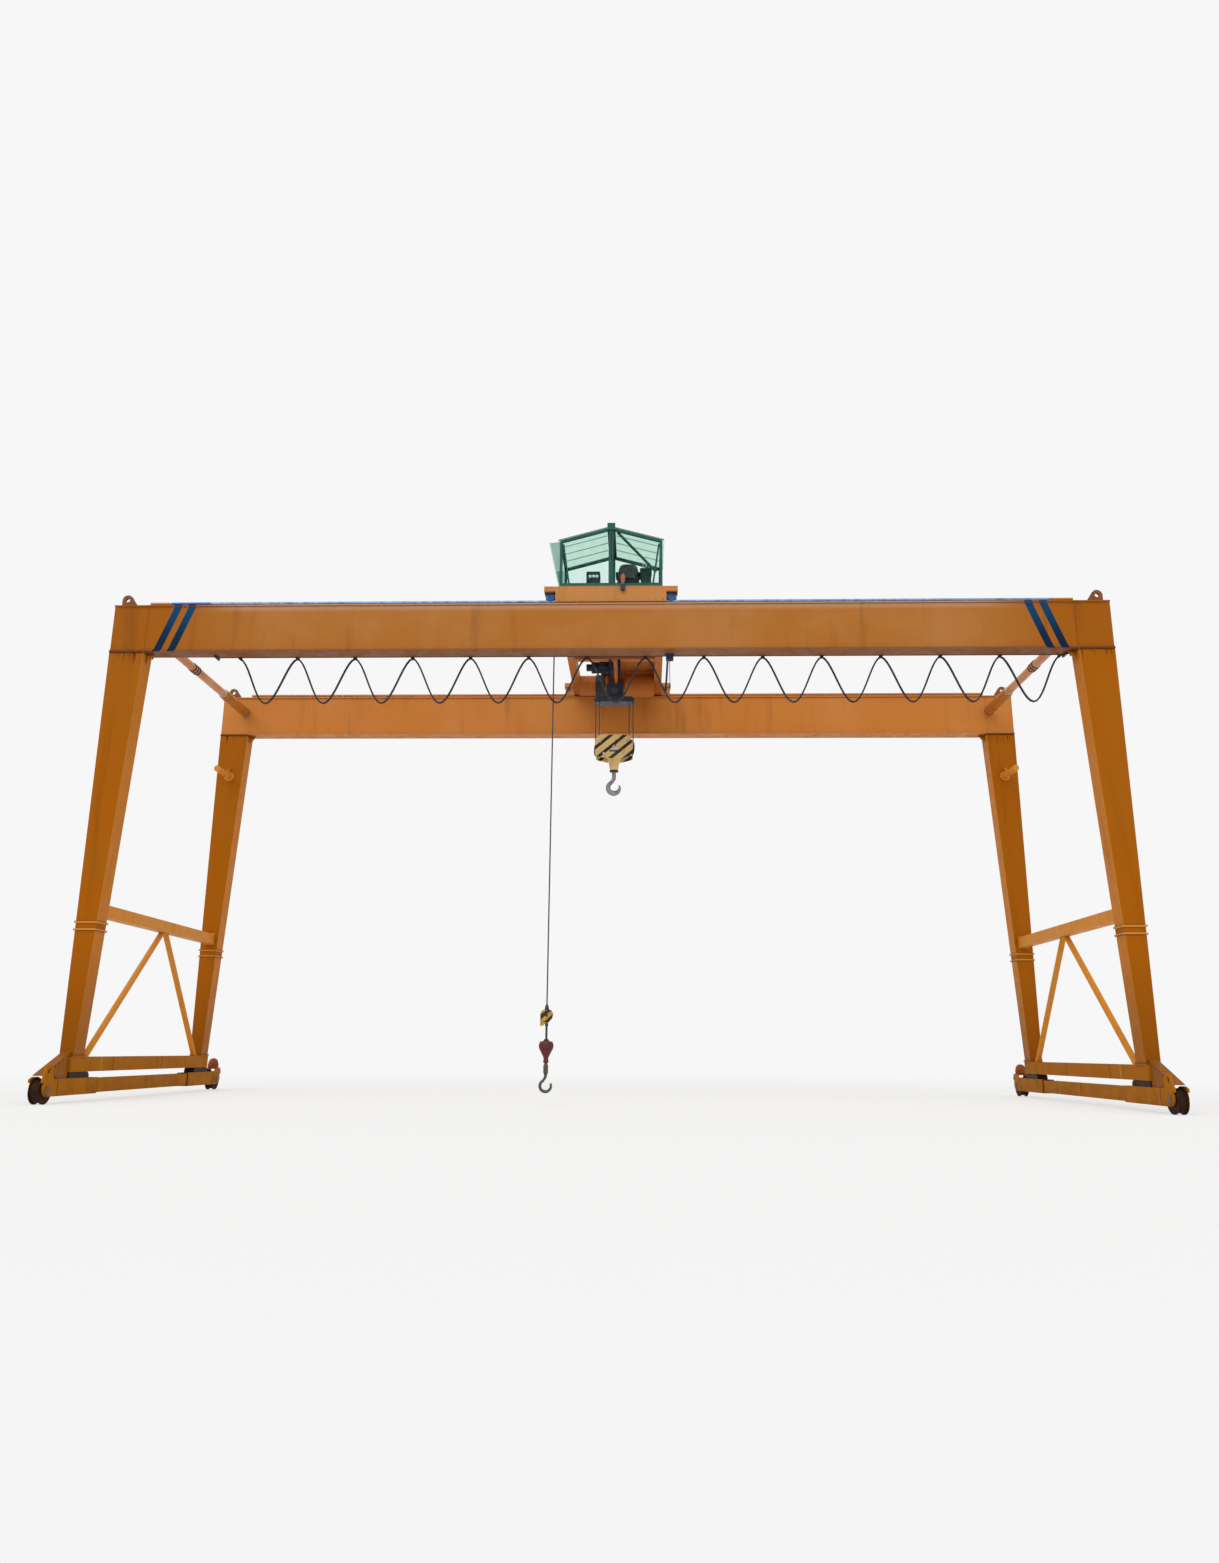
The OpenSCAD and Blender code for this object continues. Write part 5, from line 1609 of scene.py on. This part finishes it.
@dataclass
class AuxHoist:
    """Single rope with a striped tag, a weight and a small hook."""

    x: float = -1.07
    y: float = -2.51
    drum: float = 9.643
    drum_x: float = -0.9355
    drum_radius: float = 0.12
    drum_start: float = -0.182
    turns: int = 13
    tag: tuple[float, float] = (1.435, 1.733)
    weight: float = 1.05
    barrel: float = 0.76
    rope: float = 0.028
    lay: float = 0.2

    def build_rope(self) -> None:
        """Makes the rope as one long stranded tube, and the turns on its drum."""
        path = xyz(self.x, self.y, np.linspace(self.drum, self.tag[1] - 0.01, 520))
        fall = Shell().rings(stranded(path, self.rope / 2.0, self.lay, ALONG_X)).piece(
            "small_rope_fall", ROPE_WIRE, None, Slot.ROPE, 1.0)
        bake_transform(fall)
        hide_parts("aux_rope")
        layer = rope_turns(self.drum_radius, self.rope, self.turns, self.drum_start, 36, Axis.Y,
                           (self.drum_x, self.y, self.drum))
        Shell().rings(layer).piece("small_drum_rope_turns", ROPE_WIRE, Body.TROLLEY, Slot.ROPE)

    def build_socket(self) -> None:
        """Adds the rope socket over the tag, its pin, the sleeve of the rod and the weight's collars."""
        low, high = self.tag
        top = self.weight + 0.14
        profiles = (
            (24, [(0.045, high - 0.004), (0.045, high + 0.01), (0.03, high + 0.08), (0.02, high + 0.1)]),
            (20, [(0.026, low - 0.005), (0.03, low + 0.01), (0.03, low + 0.055)]),
            (24, [(0.05, top - 0.032), (0.05, top - 0.01), (0.03, top + 0.01)]),
            (20, [(0.021, top), (0.021, low + 0.01)]),
            (28, collar(0.049, 0.054, self.barrel + 0.012, self.barrel + 0.038, 0.006)),
            (28, collar(0.049, 0.054, self.barrel + 0.1, self.barrel + 0.126, 0.006)),
        )
        socket = Shell()
        for sides, profile in profiles:
            socket.rings(lathe(profile, sides, at=(self.x, self.y, 0.0)))
        pin = collar(0.022, 0.026, -0.07, 0.07, 0.006)
        socket.rings(lathe(pin, 18, Axis.Y, (self.x, self.y, high - 0.1)))
        socket.piece("small_rope_socket", DARK_STEEL, Body.WEIGHT, Slot.DARK)

    def build(self) -> None:
        """Dresses the small hoist and adds its rope and small pieces."""
        dress(TAG_COAT, "aux_tag")
        dress(WEIGHT_COAT, "aux_weight")
        dress(SMALL_HOOK_STEEL, "aux_hook")
        self.build_rope()
        self.build_socket()


@dataclass
class Studio:
    """Camera, soft light and the pale floor that the crane stands on."""

    position: tuple[float, float, float] = (0.75973, -23.61045, 0.98772)
    pitch: float = 0.24187
    yaw: float = 0.0319
    roll: float = 0.00732
    sensor: float = 36.0
    lens: float = 1091.9 / 1563.0 * 36.0
    pale: float = 0.93
    ambient: float = 0.62
    floor_size: float = 300.0
    shadow: tuple[float, float] = (12.0, 34.0)
    lamps: tuple[tuple[str, float, float, float, float], ...] = (
        ("key", 1.15, 0.9, 48.0, -28.0), ("fill", 0.5, 1.2, 62.0, 40.0))

    def build_camera(self) -> None:
        """Sets the camera at the photograph's viewing angle."""
        data = bpy.data.cameras.new("camera")
        data.lens = self.lens
        data.sensor_width = self.sensor
        camera = bpy.data.objects.new("camera", data)
        turn = (Matrix.Rotation(self.yaw, 4, "Z") @ Matrix.Rotation(math.pi / 2.0 + self.pitch, 4, "X")
                @ Matrix.Rotation(self.roll, 4, "Z"))
        camera.matrix_world = Matrix.Translation(self.position) @ turn
        bpy.context.scene.collection.objects.link(camera)
        bpy.context.scene.camera = camera

    def seen(self, tree: bpy.types.NodeTree) -> Socket:
        """One for camera, glossy and transmission rays in a node tree, zero for the rest.

        Args:
            tree: Node tree that takes the new nodes.

        Returns:
            Socket with that value.
        """
        path = tree.nodes.new("ShaderNodeLightPath")
        total = path.outputs["Is Camera Ray"]
        for name in ("Is Glossy Ray", "Is Transmission Ray"):
            either = tree.nodes.new("ShaderNodeMath")
            either.operation = "MAXIMUM"
            tree.links.new(total, either.inputs[0])
            tree.links.new(path.outputs[name], either.inputs[1])
            total = either.outputs[0]
        return total

    def build_world(self) -> None:
        """Lights from all round, and shows a pale ground to the rays that see it."""
        world = bpy.data.worlds.new("studio")
        bpy.context.scene.world = world
        world.use_nodes = True
        tree = world.node_tree
        tree.nodes.clear()
        light, shown = tree.nodes.new("ShaderNodeBackground"), tree.nodes.new("ShaderNodeBackground")
        light.inputs["Color"].default_value = (1.0, 0.99, 0.97, 1.0)
        light.inputs["Strength"].default_value = self.ambient
        shown.inputs["Color"].default_value = (self.pale, self.pale, self.pale, 1.0)
        both, output = tree.nodes.new("ShaderNodeMixShader"), tree.nodes.new("ShaderNodeOutputWorld")
        tree.links.new(self.seen(tree), both.inputs[0])
        tree.links.new(light.outputs[0], both.inputs[1])
        tree.links.new(shown.outputs[0], both.inputs[2])
        tree.links.new(both.outputs[0], output.inputs[0])

    def build_lamps(self) -> None:
        """Adds two wide soft lamps, from the front left and the front right."""
        for name, power, wide, tilt, swing in self.lamps:
            data = bpy.data.lights.new(name, "SUN")
            data.energy = power
            data.angle = wide
            lamp = bpy.data.objects.new(name, data)
            lamp.matrix_world = (Matrix.Rotation(math.radians(swing), 4, "Z")
                                 @ Matrix.Rotation(math.radians(tilt), 4, "X"))
            bpy.context.scene.collection.objects.link(lamp)

    def build_floor(self) -> None:
        """Lays the floor: lit where the crane throws its shadow, even and pale further out."""
        mesh = bpy.data.meshes.new("floor")
        half = self.floor_size / 2.0
        corners = [(-half, -half, 0.0), (half, -half, 0.0), (half, half, 0.0), (-half, half, 0.0)]
        mesh.from_pydata(corners, [], [(0, 1, 2, 3)])
        floor = bpy.data.objects.new("floor", mesh)
        bpy.context.scene.collection.objects.link(floor)
        net = Net("floor_finish")
        tree = net.tree
        net.feed("Base Color", (self.pale, self.pale, self.pale))
        net.feed("Roughness", 0.95)
        net.feed("Specular IOR Level", 0.0)
        even = net.add("ShaderNodeEmission", {"Color": (self.pale, self.pale, self.pale), "Strength": 1.0})
        length = net.add("ShaderNodeVectorMath", {0: net.place}, operation="LENGTH").outputs["Value"]
        share = net.maths("MULTIPLY", net.ramp(length, *self.shadow, 0.6, 1.0), self.seen(tree))
        both = tree.nodes.new("ShaderNodeMixShader")
        output = next(n for n in tree.nodes if n.type == "OUTPUT_MATERIAL")
        tree.links.new(share, both.inputs[0])
        tree.links.new(net.shader.outputs[0], both.inputs[1])
        tree.links.new(even.outputs[0], both.inputs[2])
        tree.links.new(both.outputs[0], output.inputs[0])
        mesh.materials.append(net.material)

    def build(self) -> None:
        """Sets up the camera, light and floor."""
        bpy.context.scene.view_settings.view_transform = "Standard"
        self.build_camera()
        self.build_world()
        self.build_lamps()
        self.build_floor()


def main() -> None:
    """Builds the studio and the sub-assemblies in order."""
    for part in (Studio(), Festoon(), Portal(), TravelGear(), Trolley(), Cab(), MainHoist(), AuxHoist()):
        part.build()
        LOG.info("built %s", type(part).__name__)


if __name__ == "__main__":
    main()
